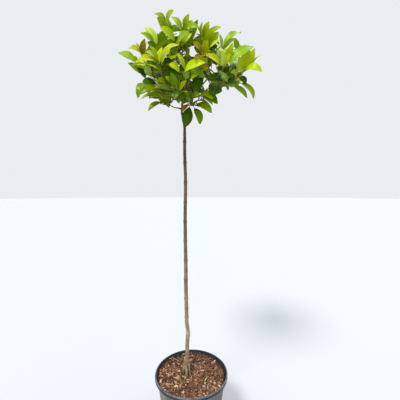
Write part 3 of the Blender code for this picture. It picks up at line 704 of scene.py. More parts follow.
def makeLitter():
    pile = MeshPile()
    for (x, y), long, heading, finish in litter["scraps"]:
        turn = math.radians(heading)
        along = Vector((math.cos(turn), math.sin(turn), 0.35)).normalized()
        side = skyUp.cross(along).normalized()
        upper = along.cross(side).normalized()
        foot = Vector((x, y, soilHeight(x, y) + litter["scrapLift"])) - along * long / 2
        points = []
        rings = []
        for t, half in litter["scrapShape"]:
            centre = foot + along * (long * t) + upper * (0.10 * long * math.sin(math.pi * t))
            addRing(points, rings, [
                centre + side * (u * half * long) + upper * (v + abs(u) * 0.0008)
                for u, v in ((1, 0.0), (0, 0.0007), (-1, 0.0), (0, -0.0003))
            ])
        rings.insert(0, [len(points)])
        points.append(foot)
        addRing(points, rings, [foot + along * long])
        pile.add(points, bridgeRings(rings), finish)
    lifts = litter["lifts"]
    a, b = (Vector((*p, soilHeight(*p) + lifts["splinter"])) for p in litter["splinter"])
    path = [a.lerp(b, k / 5) + skyUp * (0.0012 * math.sin(k)) for k in range(6)]
    pile.add(*limbMesh(path, litter["splinterRadii"], 5, capPush=0.001), 4)
    path = [Vector((*p, soilHeight(*p) + lifts["twig"])) for p in litter["twig"]]
    path = [pointOn(path, k / 12)[0] + Vector((0.0, 0.0006, 0.0008)) * math.sin(2.1 * k) for k in range(13)]
    pile.add(*limbMesh(path, [0.0009 - 0.00003 * k for k in range(13)], 6, capPush=0.0006), 5)
    chance = random.Random(litter["mossSeed"])
    for _tuft in range(litter["mossTufts"]):
        x = litter["mossHeart"][0] + chance.gauss(0.0, litter["mossSpread"] * 0.7)
        y = litter["mossHeart"][1] + chance.gauss(0.0, litter["mossSpread"])
        tall = chance.uniform(*litter["mossTall"])
        lean = Vector((chance.uniform(-1.0, 1.0), chance.uniform(-1.0, 1.0), 2.0)).normalized()
        foot = Vector((x, y, soilHeight(x, y) + lifts["moss"]))
        path = [foot, foot + lean * tall * 0.6, foot + lean * tall * 1.2]
        pile.add(*limbMesh(path, litter["mossRadii"], 4, capPush=0.0003), 0)
    return pile.piece("barkLitter", [chipFinish(*tint) for tint in litter["tints"]], sharpAngle=40)


litterPiece = makeLitter()
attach(litterPiece, "root")
print("litter and moss laid")

# Stem

stem = dict(
    ground=soilTop + solidGap,
    bends=(  # height above the ground, then sideways shift in X and Y
        (0.000, 0.0000, 0.0000), (0.105, 0.0005, 0.0008), (0.150, 0.0035, 0.0000),
        (0.195, -0.0015, -0.0010), (0.370, -0.0040, -0.0060), (0.575, -0.0058, -0.0120),
        (0.715, -0.0040, -0.0170), (0.825, -0.0066, -0.0200), (0.900, -0.0062, -0.0230),
        (0.960, -0.0158, -0.0270), (1.005, -0.0140, -0.0300), (1.060, -0.0110, -0.0320),
    ),
    radii=(  # height and radius: little taper up to the crown, then each limb takes its share
        (0.000, 0.0074), (0.300, 0.0069), (0.600, 0.0060), (0.860, 0.0054), (0.905, 0.0049),
        (0.945, 0.0038), (0.975, 0.0033), (1.060, 0.0032),
    ),
    flareHeight=0.022,
    flareSpread=0.0048,
    flareSoftness=0.011,
    firstNode=0.070,
    nodeSpacing=0.0355,
    nodeSway=0.004,  # how far the nodes stray from even spacing
    nodeSwayTurn=3.1,
    nodeBulge=0.17,
    nodeReach=0.0048,
    scarSeam=(0.0046, 0.00028),  # height over the node and depth of the seam, then of the lip above it
    scarLip=(0.0066, 0.00020),
    scarReach=0.0012,
    sides=28,
    ringStep=0.0018,
    meetsFoot=0.034,  # the stem's own skin starts here, slimmer than the foot for a little way
    slimBy=0.0022,
    slimOver=0.012,
    fissure=0.00030,
    ridges=(2.6, 16.0, 2.3),  # how fine round and along the stem, and a second set by the first
    flakes=(1.2, 60.0, 0.6),  # how fine round and along the stem, and their share of the ridges
    ridgeShare=(0.45, 0.75),  # of the depth: always, and by how stout the stem is
    colours=(  # height above the ground, and the bark's colour there; the bands also hold painted shade, darker at the soil and with the cane's shadow averaged in
        (0.00, shade(122, 103, 83)), (0.03, shade(148, 129, 107)), (0.14, shade(166, 146, 122)),
        (0.24, shade(154, 132, 107)), (0.40, shade(134, 112, 89)), (0.52, shade(110, 90, 71)),
        (0.72, shade(102, 83, 63)), (0.86, shade(90, 69, 50)), (1.00, shade(88, 66, 47)),
    ),
)
stemHeight = stem["bends"][-1][0]


def rowsAt(rows, height):
    # the two rows of values that a height lies between, and how far it is from one to the other
    for low, high in zip(rows, rows[1:]):
        if height <= high[0]:
            break
    return low, high, (height - low[0]) / (high[0] - low[0])


def stemCentre(height):
    low, high, share = rowsAt(stem["bends"], height)
    share = min(max(share, 0.0), 1.0)
    ease = share * share * (3.0 - 2.0 * share)
    x = stemFoot[0] + low[1] + (high[1] - low[1]) * ease
    y = stemFoot[1] + low[2] + (high[2] - low[2]) * ease
    return Vector((x, y, stem["ground"] + height))


def bell(away, reach):
    # one in the middle and falling off softly
    return math.exp(-((away / reach) ** 2))


def stemRadius(height):
    low, high, share = rowsAt(stem["radii"], height)
    flare = stem["flareSpread"] * bell(height - stem["flareHeight"], stem["flareSoftness"])
    return low[1] + (high[1] - low[1]) * share + flare


def stemRelief(height, angle):
    # old scars in opposite pairs that turn a quarter from node to node, and shallow upright fissures
    radius = stemRadius(height)
    node = round((height - stem["firstNode"]) / stem["nodeSpacing"])
    off = height - stem["firstNode"] - node * stem["nodeSpacing"]
    off += stem["nodeSway"] * math.sin(stem["nodeSwayTurn"] * node)
    facing = abs(math.sin(angle) if node % 2 else math.cos(angle))
    bump = 0.0
    if node >= 0:
        bump = stem["nodeBulge"] * radius * bell(off, stem["nodeReach"]) * (0.35 + 0.65 * facing**3)
        bump -= stem["scarSeam"][1] * bell(off - stem["scarSeam"][0], stem["scarReach"])
        bump += stem["scarLip"][1] * bell(off - stem["scarLip"][0], stem["scarReach"])
    across, along, finer = stem["ridges"]
    spot = Vector((math.cos(angle) * across, math.sin(angle) * across, height * along))
    grooves = noise.noise(spot) + 0.5 * noise.noise(spot * finer)
    across, along, share = stem["flakes"]
    flakes = noise.noise(Vector((math.cos(angle) * across, math.sin(angle) * across, height * along)))
    always, byStoutness = stem["ridgeShare"]
    deep = always + radius / stem["radii"][0][1] * byStoutness
    return bump + stem["fissure"] * (grooves + share * flakes) * deep


root = dict(
    heart=(  # height and radius of the swelling
        (0.0, 0.0080), (0.010, 0.0088), (0.018, 0.0104), (0.026, 0.0116), (0.036, 0.0100),
        (0.056, 0.0070),
    ),
    lean=-0.0038,  # the swelling stands this far to the left of the stem
    legs=(  # where each surface root leaves the swelling and enters the bark, its radii and its sideways bow
        dict(leave=(-0.0040, -0.0040, 0.022), enter=(-0.0185, 0.0040), thick=(0.0056, 0.0034), bow=-0.0014),
        dict(leave=(0.0076, -0.0012, 0.034), enter=(-0.0012, 0.0080), thick=(0.0028, 0.0021), bow=0.0050),
        dict(leave=(-0.0096, -0.0010, 0.026), enter=(-0.0318, 0.0262), thick=(0.0068, 0.0046), bow=-0.0010),
        dict(leave=(-0.0020, 0.0080, 0.020), enter=(-0.0190, 0.0600), thick=(0.0054, 0.0034), bow=-0.0020),
        dict(leave=(0.0020, 0.0080, 0.018), enter=(-0.0060, 0.0520), thick=(0.0044, 0.0030), bow=0.0012),
    ),
    leanAt=(0.024, 0.014),  # height of the middle of the swelling and how far it reaches
    drop=0.012,
    depth=0.004,
    heartSides=20,
    legSides=10,
    legSpans=14,
    voxel=0.0008,
    soften=4,
    keepsLevel=0.55,  # this share of its run
    kneeBack=0.15,
    kneeRise=1.6,  # by its drop
    uneven=(1.9, 0.0004),
    knobs=(0.016, 0.014, 0.0009),  # height over the bark, reach and size
    knobFine=130.0,
    ridges=(420.0, 90.0, 0.00050),  # how fine across and along, and how deep
    grit=(900.0, 0.0002),
)


def makeFoot():
    # the swelling and its surface roots, melted into one skin
    pile = MeshPile()
    middle, reach = root["leanAt"]
    path = []
    for height, _radius in root["heart"]:
        path.append(stemCentre(height) + Vector((root["lean"] * bell(height - middle, reach), 0.0, 0.0)))
    radii = [radius for _height, radius in root["heart"]]
    pile.add(*limbMesh(path, radii, root["heartSides"], level=True, capPush=0.001))
    spans = root["legSpans"]
    turnStep, uneven = root["uneven"]
    for leg in root["legs"]:
        start = stemCentre(0.0) + Vector(leg["leave"])
        end = Vector((*leg["enter"], soilTop - root["depth"]))
        outward = Vector((end.x - start.x, end.y - start.y, 0.0))
        side = outward.normalized().cross(skyUp)
        leave = start + outward * root["keepsLevel"] + side * leg["bow"]
        knee = end + skyUp * root["drop"] * root["kneeRise"] - outward * root["kneeBack"] + side * leg["bow"]
        path = bezierPath(start, leave, knee, end, spans)
        thick, thin = leg["thick"]
        radii = []
        for k in range(spans + 1):
            radii.append(thick + (thin - thick) * k / spans + uneven * math.sin(turnStep * k))
        pile.add(*limbMesh(path, radii, root["legSides"], capPush=0.001))
    foot = pile.piece("footCore", [])
    melt = foot.modifiers.new("melt", "REMESH")
    melt.mode = "VOXEL"
    melt.voxel_size = root["voxel"]
    soften = foot.modifiers.new("soften", "SMOOTH")
    soften.factor = 0.5
    soften.iterations = root["soften"]
    applyModifiers(foot)
    points = []
    knobRise, knobReach, knobSize = root["knobs"]
    across, along, deep = root["ridges"]
    gritFine, gritDeep = root["grit"]
    for vertex in foot.data.vertices:
        spot = vertex.co
        stretched = Vector((spot.x * across, spot.y * across, spot.z * along))
        near = bell(spot.z - soilTop - knobRise, knobReach)
        knobs = noise.noise(spot * root["knobFine"]) * knobSize * near
        push = deep * noise.noise(stretched) + gritDeep * noise.noise(spot * gritFine) + knobs
        points.append(spot + vertex.normal * push)
    faces = [tuple(face.vertices) for face in foot.data.polygons]
    bpy.data.objects.remove(foot, do_unlink=True)
    return points, faces


def barkFinish(name, bands, mossy=0.0, scarMarksLightAndShade=0.0):
    # bands of colour up the limb, streaked along it, with pale flecks and fine cracks
    finish = Finish(name, Roughness=0.82, Specular_IOR_Level=0.35)
    low, high = bands[0][0], bands[-1][0]
    climb = finish.span(finish.axis("Z"), stem["ground"] + low, stem["ground"] + high)
    base = finish.ramp(climb, *[((height - low) / (high - low), colour) for height, colour in bands])
    streak = finish.grain(170.0, 5.0, 0.65, finish.stretched(1.0, 1.0, 0.16), 0.6)
    blotch = finish.grain(34.0, 3.0, 0.6)
    asItIs = (1.0, 1.0, 1.0)
    grooved = finish.ramp(streak, (0.30, (0.42, 0.40, 0.38)), (0.52, asItIs), (0.78, (1.32, 1.30, 1.26)))
    base = finish.mix(0.85, base, grooved, "MULTIPLY")
    wash = finish.ramp(blotch, (0.35, (0.66, 0.63, 0.60)), (0.62, (1.16, 1.16, 1.16)))
    base = finish.mix(0.8, base, wash, "MULTIPLY")
    if scarMarksLightAndShade:
        # a pale lip and a dark line across each old scar, where the relief swells;
        # partly scar marking, partly painted light on the swelling and painted shade in the seam
        steps = finish.maths("SUBTRACT", finish.axis("Z"), stem["ground"] + stem["firstNode"])
        steps = finish.plus(finish.maths("DIVIDE", steps, stem["nodeSpacing"]), 0.5)
        shift = finish.maths("SINE", finish.times(finish.maths("FLOOR", steps), stem["nodeSwayTurn"]))
        shift = finish.times(shift, stem["nodeSway"] / stem["nodeSpacing"])
        uneven = finish.times(finish.grain(90.0, 4.0, 0.65), 0.20)
        band = finish.plus(finish.maths("FRACT", steps), finish.plus(shift, uneven))
        line = finish.ramp(
            band, (0.46, asItIs), (0.53, (1.12, 1.11, 1.08)), (0.575, (1.16, 1.14, 1.10)),
            (0.605, (0.52, 0.48, 0.44)), (0.64, (0.62, 0.58, 0.54)), (0.70, asItIs),
        )
        # how strongly the ring shows, in patches: the scar marking with its painted light and shade
        wearAndPaintedLight = finish.span(finish.grain(55.0, 3.0, 0.6), 0.42, 0.60, 0.12, scarMarksLightAndShade)
        base = finish.mix(wearAndPaintedLight, base, line, "MULTIPLY")
    flecks = finish.span(finish.cells(620.0, finish.stretched(1.0, 1.0, 0.55)), 0.16, 0.06)
    base = finish.mix(finish.times(flecks, 0.45), base, shade(190, 176, 156))
    if mossy:
        damp = finish.span(finish.axis("Z"), stem["ground"] + 0.045, stem["ground"])
        patch = finish.span(finish.grain(75.0, 4.0, 0.6), 0.52, 0.66, 0.0, mossy)
        base = finish.mix(finish.times(damp, patch), base, shade(104, 112, 52))
    finish.colour(base)
    finish.rough(finish.span(streak, 0.2, 0.8, 0.92, 0.70))
    relief = finish.plus(streak, finish.times(finish.grain(1300.0, 3.0, 0.6), 0.4))
    finish.bump(relief, 0.0005, 0.6)
    return finish.material


def makeStem():
    pile = MeshPile()
    low = stem["meetsFoot"]
    count = int(stemHeight / stem["ringStep"])
    heights = [low + (stemHeight - low) * k / count for k in range(count + 1)]
    path = [stemCentre(h) for h in heights]
    radii = [stemRadius(h) - stem["slimBy"] * max(0.0, 1.0 - (h - low) / stem["slimOver"]) for h in heights]
    pile.add(*limbMesh(path, radii, stem["sides"], lambda a, k: stemRelief(heights[k], a), level=True))
    pile.add(*makeFoot())
    # the scar rings at the nodes carry painted light and shade as well as their marking
    finish = barkFinish("stemSkin", stem["colours"], mossy=0.9, scarMarksLightAndShade=0.8)
    return pile.piece("stemBark", [finish], sharpAngle=70)


stemPiece = makeStem()
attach(stemPiece, "root")
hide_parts("trunk")
print("stem and root flare grown")

# Boughs

bough = dict(
    sides=12,
    spans=64,
    leave=(0.30, 0.40),
    arrive=(0.45, 0.35),
    collar=0.0012,
    collarReach=0.011,
    nodeEvery=0.031,
    swell=0.30,
    swellReach=0.0024,
    ring=0.00012,
    ringAbove=0.0030,
    ringReach=0.0007,
    skin=(1.6, 45.0, 7.3, 0.07),  # ridges: how fine round and along the limb, their shift and depth
    colours=((0.95, shade(104, 76, 54)), (1.10, shade(112, 74, 52)), (1.30, shade(122, 82, 56))),
)
limbs = dict(
    low_left=dict(height=0.968, tip=(-0.068, -0.014, 1.156), thick=0.0019, thin=0.0015),
    low_right=dict(height=0.972, tip=(0.014, -0.026, 1.166), thick=0.0021, thin=0.0017),
    front=dict(height=0.984, tip=(-0.022, -0.062, 1.166), thick=0.0024, thin=0.0019),
    front_left=dict(height=0.998, tip=(-0.070, -0.058, 1.196), thick=0.0026, thin=0.0020),
    right=dict(height=0.996, tip=(0.112, -0.022, 1.222), thick=0.0031, thin=0.0021),
    left=dict(height=1.012, tip=(-0.112, 0.000, 1.240), thick=0.0029, thin=0.0021),
    front_right=dict(height=1.010, tip=(0.052, -0.066, 1.222), thick=0.0026, thin=0.0020),
    back_left=dict(height=1.024, tip=(-0.088, 0.076, 1.254), thick=0.0028, thin=0.0021),
    back_right=dict(height=1.022, tip=(0.060, 0.078, 1.250), thick=0.0028, thin=0.0021),
    back=dict(height=1.000, tip=(-0.020, 0.094, 1.236), thick=0.0026, thin=0.0020),
    top_left=dict(height=1.036, tip=(-0.078, 0.002, 1.306), thick=0.0029, thin=0.0022),
    top_right=dict(height=1.034, tip=(0.066, -0.012, 1.294), thick=0.0029, thin=0.0022),
    top_back=dict(height=1.046, tip=(-0.008, 0.048, 1.318), thick=0.0025, thin=0.0020),
)


def boughPath(values, spans):
    start = stemCentre(values["height"])
    tip = Vector(values["tip"])
    run = (tip - start).length
    outward = Vector((tip.x - start.x, tip.y - start.y, 0.0)).normalized()
    leave = (outward + skyUp * bough["leave"][0]).normalized()
    arrive = ((tip - start).normalized() + skyUp * bough["arrive"][0]).normalized()
    startPull = start + leave * run * bough["leave"][1]
    return bezierPath(start, startPull, tip - arrive * run * bough["arrive"][1], tip, spans)


def limbRelief(look, seed, steps, radii):
    # a swelling at every pair of old scars and a lightly ridged skin
    acrossFine, alongFine, shift, deep = look["skin"]

    def relief(angle, index):
        along = steps[index]
        node = round(along / look["nodeEvery"])
        off = along - node * look["nodeEvery"]
        facing = abs(math.sin(angle) if (node + seed) % 2 else math.cos(angle))
        swell = radii[index] * look["swell"] * bell(off, look["swellReach"]) * (0.4 + 0.6 * facing**2)
        ring = look["ring"] * bell(off - look["ringAbove"], look["ringReach"]) if "ring" in look else 0.0
        x, y = math.cos(angle) * acrossFine, math.sin(angle) * acrossFine
        spot = Vector((x, y, along * alongFine + seed * shift))
        return swell - ring + radii[index] * deep * noise.noise(spot)

    return relief


def stepsAlong(path):
    steps = [0.0]
    for a, b in zip(path, path[1:]):
        steps.append(steps[-1] + (b - a).length)
    return steps


def makeBoughs():
    pile = MeshPile()
    for seed, values in enumerate(limbs.values()):
        path = boughPath(values, bough["spans"])
        steps = stepsAlong(path)
        # the collar swells where the limb leaves the stem
        leaves = stemRadius(values["height"])
        radii = []
        for k, along in enumerate(steps):
            plain = values["thick"] + (values["thin"] - values["thick"]) * k / bough["spans"]
            radii.append(plain + bough["collar"] * bell(max(along - leaves, 0.0), bough["collarReach"]))
        pile.add(*limbMesh(path, radii, bough["sides"], limbRelief(bough, seed, steps, radii)))
    return pile.piece("boughBark", [barkFinish("boughSkin", bough["colours"])], sharpAngle=70)


boughPiece = makeBoughs()
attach(boughPiece, "root")
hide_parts(*[f"bough_{name}" for name in limbs])
print("boughs grown")

# Crown: the same twigs and leaves that the solids have, by the same seeded rule, then finer side shoots

crownHeart = Vector((-0.015, 0.0, 1.150))
masses = {
    "top": dict(lift=0.75, tufts=(
        (-0.028, -0.050, 1.380), (-0.045, -0.112, 1.287), (0.040, -0.092, 1.288),
    )),
    "top_left": dict(lift=0.70, tufts=(
        (-0.083, 0.002, 1.426), (-0.112, -0.052, 1.335), (-0.120, 0.050, 1.372),
    )),
    "top_right": dict(lift=0.70, tufts=(
        (0.045, 0.000, 1.387), (0.107, -0.030, 1.336), (0.112, 0.052, 1.352),
    )),
    "top_back": dict(lift=0.75, tufts=(
        (-0.020, 0.062, 1.412), (0.040, 0.082, 1.392), (-0.050, 0.108, 1.372),
    )),
    "left": dict(lift=0.55, tufts=(
        (-0.176, 0.022, 1.338), (-0.174, -0.034, 1.284), (-0.160, 0.072, 1.310),
    )),
    "right": dict(lift=0.45, tufts=((0.180, -0.022, 1.270), (0.164, 0.024, 1.252), (0.162, 0.068, 1.306))),
    "front_left": dict(lift=0.65, pairs=4, tufts=(
        (-0.088, -0.140, 1.238), (-0.106, -0.078, 1.196), (-0.134, -0.088, 1.262),
    )),
    "front": dict(lift=0.72, pairs=4, tufts=(
        (-0.012, -0.150, 1.212), (-0.046, -0.112, 1.172), (0.000, -0.086, 1.172),
    )),
    "front_right": dict(lift=0.62, pairs=4, tufts=(
        (0.104, -0.130, 1.238), (0.106, -0.060, 1.226), (0.052, -0.152, 1.240),
    )),
    "low_left": dict(lift=0.00, pairs=2, tufts=((-0.097, -0.020, 1.160), (-0.074, 0.026, 1.186))),
    "low_right": dict(lift=0.10, pairs=2, tufts=((0.042, -0.030, 1.172), (0.006, -0.040, 1.152))),
    "back_left": dict(lift=0.65, tufts=(
        (-0.144, 0.120, 1.320), (-0.084, 0.164, 1.314), (-0.110, 0.114, 1.274),
    )),
    "back_right": dict(lift=0.65, tufts=(
        (0.132, 0.122, 1.324), (0.068, 0.164, 1.330), (0.124, 0.086, 1.280),
    )),
    "back": dict(lift=0.70, tufts=((-0.014, 0.178, 1.340), (0.024, 0.138, 1.284), (-0.040, 0.130, 1.282))),
}
twig = dict(
    seed=211,
    spans=4,
    tipRadius=0.0016,
    pulls=(0.38, 0.40),
    topShare=0.8,
    sideShare=0.82,
    forkFrom=0.22,
    forkStep=0.16,
    forkTurn=1.4,
    bows=(0.0, 0.010, -0.010, 0.020, -0.020, 0.032),
)
leaf = dict(
    pairs=(  # distance from the tip, spread in degrees, share of full length, chance that it has fallen
        (0.002, 17, 0.60, 0.00),
        (0.009, 34, 1.00, 0.00),
        (0.020, 52, 1.02, 0.04),
        (0.040, 68, 0.92, 0.22),
        (0.066, 78, 0.82, 0.40),
    ),
    zone=0.85,
    long=0.094,
    longSpread=0.16,
    wide=0.41,
    wideSpread=(-0.10, 0.12),
    turnSpread=0.25,
    openSpread=0.16,
    droopStep=0.05,
    droopSpread=(-0.08, 0.12),
    stations=((0.0, 0.0), (0.36, 0.94), (0.70, 0.84)),  # along the leaf, and share of its width
    keel=0.0020,
    rootWide=0.0011,
    rootDeep=0.0010,
    rootStep=0.0003,
    curl=(0.10, 0.85),
    tries=((0.0, 0.0), (0.45, 0.05), (-0.45, 0.10), (0.20, 0.40), (-0.25, -0.30), (0.9, 0.2), (-0.9, 0.2)),
    moreTries=(
        (1.5, 0.1), (-1.5, 0.1), (2.3, -0.2), (-2.3, -0.2),
        (3.1, 0.2), (1.0, -0.4), (-1.0, -0.4), (0.0, -0.6),
    ),
    slim=0.88,  # the fine leaves are this much narrower than the solids' own
    facesUp=0.45,
    edgeShare=0.35,
    freeOfOwn=0.16,
    clearance=0.0010,
)


class Crowding:
    # what already stands in the crown, so that nothing new runs through it
    def __init__(self):
        self.standing = []

    def add(self, owner, points, faces):
        self.standing.append((owner, boxOf(points), BVHTree.FromPolygons(points, faces)))

    def isClear(self, points, faces, skip=None):
        # skip(owner) says which of the things that stand are left out of the test
        (lowX, lowY, lowZ), (highX, highY, highZ) = boxOf(points)
        tree = None
        for owner, (low, high), other in self.standing:
            if highX < low[0] or lowX > high[0] or highY < low[1] or lowY > high[1]:
                continue
            if highZ < low[2] or lowZ > high[2] or (skip and skip(owner)):
                continue
            tree = tree or BVHTree.FromPolygons(points, faces)
            if tree.overlap(other):
                return False
        return True


def boxOf(points):
    return tuple(tuple(pick(p[k] for p in points) for k in range(3)) for pick in (min, max))


def massRoot(name):
    if name in limbs:
        path = boughPath(limbs[name], 6)
        along = (path[-1] - path[-2]).normalized()
        return path[-1] + along * solidGap, along, limbs[name]["thin"]
    return stemCentre(stemHeight) + skyUp * solidGap, skyUp, stem["radii"][-1][1] * twig["topShare"]


def clearTwig(crowd, mass, start, setOff, tuft, heading, thick):
    run = (tuft - start).length
    sideways = (tuft - start).cross(skyUp)
    sideways = sideways.normalized() if sideways.length > 1e-6 else Vector((1.0, 0.0, 0.0))
    for bow in twig["bows"]:
        leave = start + setOff * run * twig["pulls"][0] + sideways * bow
        arrive = tuft - heading * run * twig["pulls"][1] + sideways * bow
        path = bezierPath(start, leave, arrive, tuft, twig["spans"])
        radii = [thick + (twig["tipRadius"] - thick) * k / twig["spans"] for k in range(twig["spans"] + 1)]
        if crowd.isClear(*plainTube(path, radii, 3, setOff), lambda owner: owner == mass):
            return path, radii, (leave, arrive)
    return None


def planTwigs(crowd):
    twigs = []
    for name, values in masses.items():
        start, leave, radius = massRoot(name)
        mainPath = None
        for index, place in enumerate(values["tufts"]):
            tuft = Vector(place)
            outward = (tuft - crownHeart).normalized()
            heading = (outward * (1.0 - values["lift"]) + skyUp * values["lift"]).normalized()
            base, setOff, thick = start, leave, radius
            if index:
                base, setOff = pointOn(mainPath, twig["forkFrom"] + twig["forkStep"] * (index - 1))
                setOff = (setOff + (tuft - base).normalized() * twig["forkTurn"]).normalized()
                thick = radius * twig["sideShare"]
            found = clearTwig(crowd, name, base, setOff, tuft, heading, thick)
            if found is None:
                continue
            path, radii, pulls = found
            mainPath = mainPath or path
            twigs.append(dict(mass=name, index=index, path=path, radii=radii, pulls=pulls, setOff=setOff))
            crowd.add(name, *plainTube(path, radii, 3, setOff))
    return twigs


def leafSpine(pose, share, grow=0.0, step=leaf["rootStep"]):
    # a point on the midrib and the blade's normal there, on an arc that turns by the leaf's curl
    along, upper, curl = pose["along"], pose["upper"], pose["curl"]
    base = pose["root"] + along * step
    length = pose["length"] + grow
    if abs(curl) < 1e-4:
        return base + along * (length * share), upper
    turned = curl * share
    radius = length / curl
    centre = base + along * (radius * math.sin(turned)) - upper * (radius * (1.0 - math.cos(turned)))
    return centre, upper * math.cos(turned) + along * math.sin(turned)


def plainLeaf(pose, grow=0.0, trim=0.0):
    # the solids' own leaf, which keeps the room that the fine leaf then fills
    points = []
    rings = []
    side = pose["along"].cross(pose["upper"]).normalized()
    for share, part in leaf["stations"]:
        centre, normal = leafSpine(pose, max(share, trim))
        half = leaf["rootWide"] / 2 + (pose["width"] - leaf["rootWide"]) / 2 * part + grow
        depth = leaf["rootDeep"] + (leaf["keel"] - leaf["rootDeep"]) * part
        raised = normal * (depth * leaf["edgeShare"] + grow)
        sunk = normal * (depth * (1.0 - leaf["edgeShare"]) + grow)
        addRing(points, rings, [centre + side * half + raised, centre - side * half + raised, centre - sunk])
    addRing(points, rings, [leafSpine(pose, 1.0, grow)[0]])
    return points, [*bridgeRings(rings), tuple(reversed(rings[0]))]


def leafPose(heading, turn, spread, droop):
    level = heading.orthogonal().normalized()
    outward = Matrix.Rotation(turn, 3, heading) @ level
    along = heading * math.cos(spread) + outward * math.sin(spread)
    along = (along - skyUp * droop).normalized()
    upper = heading * math.sin(spread) - outward * math.cos(spread)
    upper = (upper - along * upper.dot(along)).normalized()
    sky = skyUp - along * skyUp.dot(along)
    if sky.length > 0.2:
        upper = upper * (1.0 - leaf["facesUp"]) + sky.normalized() * leaf["facesUp"]
        upper = (upper - along * upper.dot(along)).normalized()
    return along, upper


def clearLeaf(view, tries, isFree, heading, root, turn, opened, droop, length, width, curl):
    # a leaf in the first of several turns that the front view allows and isFree passes
    for turned, spreadMore in tries:
        along, upper = leafPose(heading, turn + turned, opened + spreadMore, droop)
        pose = dict(root=root, along=along, upper=upper, length=length, width=width, curl=curl)
        if view.allows(pose) and isFree(pose):
            return pose
    return None


def planLeaves(crowd, view, twigs):
    leaves = []
    names = list(masses)
    for pair, (fromTip, spread, size, fallen) in enumerate(leaf["pairs"]):
        for item in twigs:
            mass = item["mass"]
            place = names.index(mass) * 10 + item["index"]
            chance = random.Random(twig["seed"] * 10007 + place * 101 + pair * 7)
            run = pathLength(item["path"])
            firstTurn = random.Random(twig["seed"] + place).uniform(0.0, math.pi)

            def isFree(pose, mass=mass):
                whole = plainLeaf(pose, grow=leaf["clearance"])
                outer = plainLeaf(pose, grow=leaf["clearance"], trim=leaf["freeOfOwn"])
                clearOfOthers = crowd.isClear(*whole, lambda owner: owner == mass)
                return clearOfOthers and crowd.isClear(*outer, lambda owner: owner != mass)

            for side in (0, 1):
                lost = chance.random() < fallen
                turn = firstTurn + pair * math.pi / 2 + side * math.pi
                turn += chance.uniform(-leaf["turnSpread"], leaf["turnSpread"])
                opened = math.radians(spread) + chance.uniform(-leaf["openSpread"], leaf["openSpread"])
                length = leaf["long"] * size * (1.0 + chance.uniform(-1.0, 1.0) * leaf["longSpread"])
                width = length * leaf["wide"] * (1.0 + chance.uniform(*leaf["wideSpread"]))
                curl = chance.uniform(*leaf["curl"])
                droop = leaf["droopStep"] * pair + chance.uniform(*leaf["droopSpread"])
                bare = pair >= masses[mass].get("pairs", len(leaf["pairs"]))
                if lost or bare or fromTip > run * leaf["zone"]:
                    continue
                base, heading = pointOn(item["path"], 1.0 - fromTip / run)
                shape = (turn, opened, droop, length, width * leaf["slim"], curl)
                found = clearLeaf(view, leaf["tries"] + leaf["moreTries"], isFree, heading, base, *shape)
                if found:
                    found.update(mass=mass, twig=item["index"], pair=pair, sprig=False)
                    leaves.append(found)
                    crowd.add(mass, *plainLeaf(found))
    return leaves


# Leaves that the front of the crown shows one by one, each turned as given on the twig that carries it.
# foot and tip are spots across and down a frame of 400 by 400, and roll is by how many degrees the upper
# side tips from the viewer towards the sky. What a row doesn't say is in the usual values below the rows

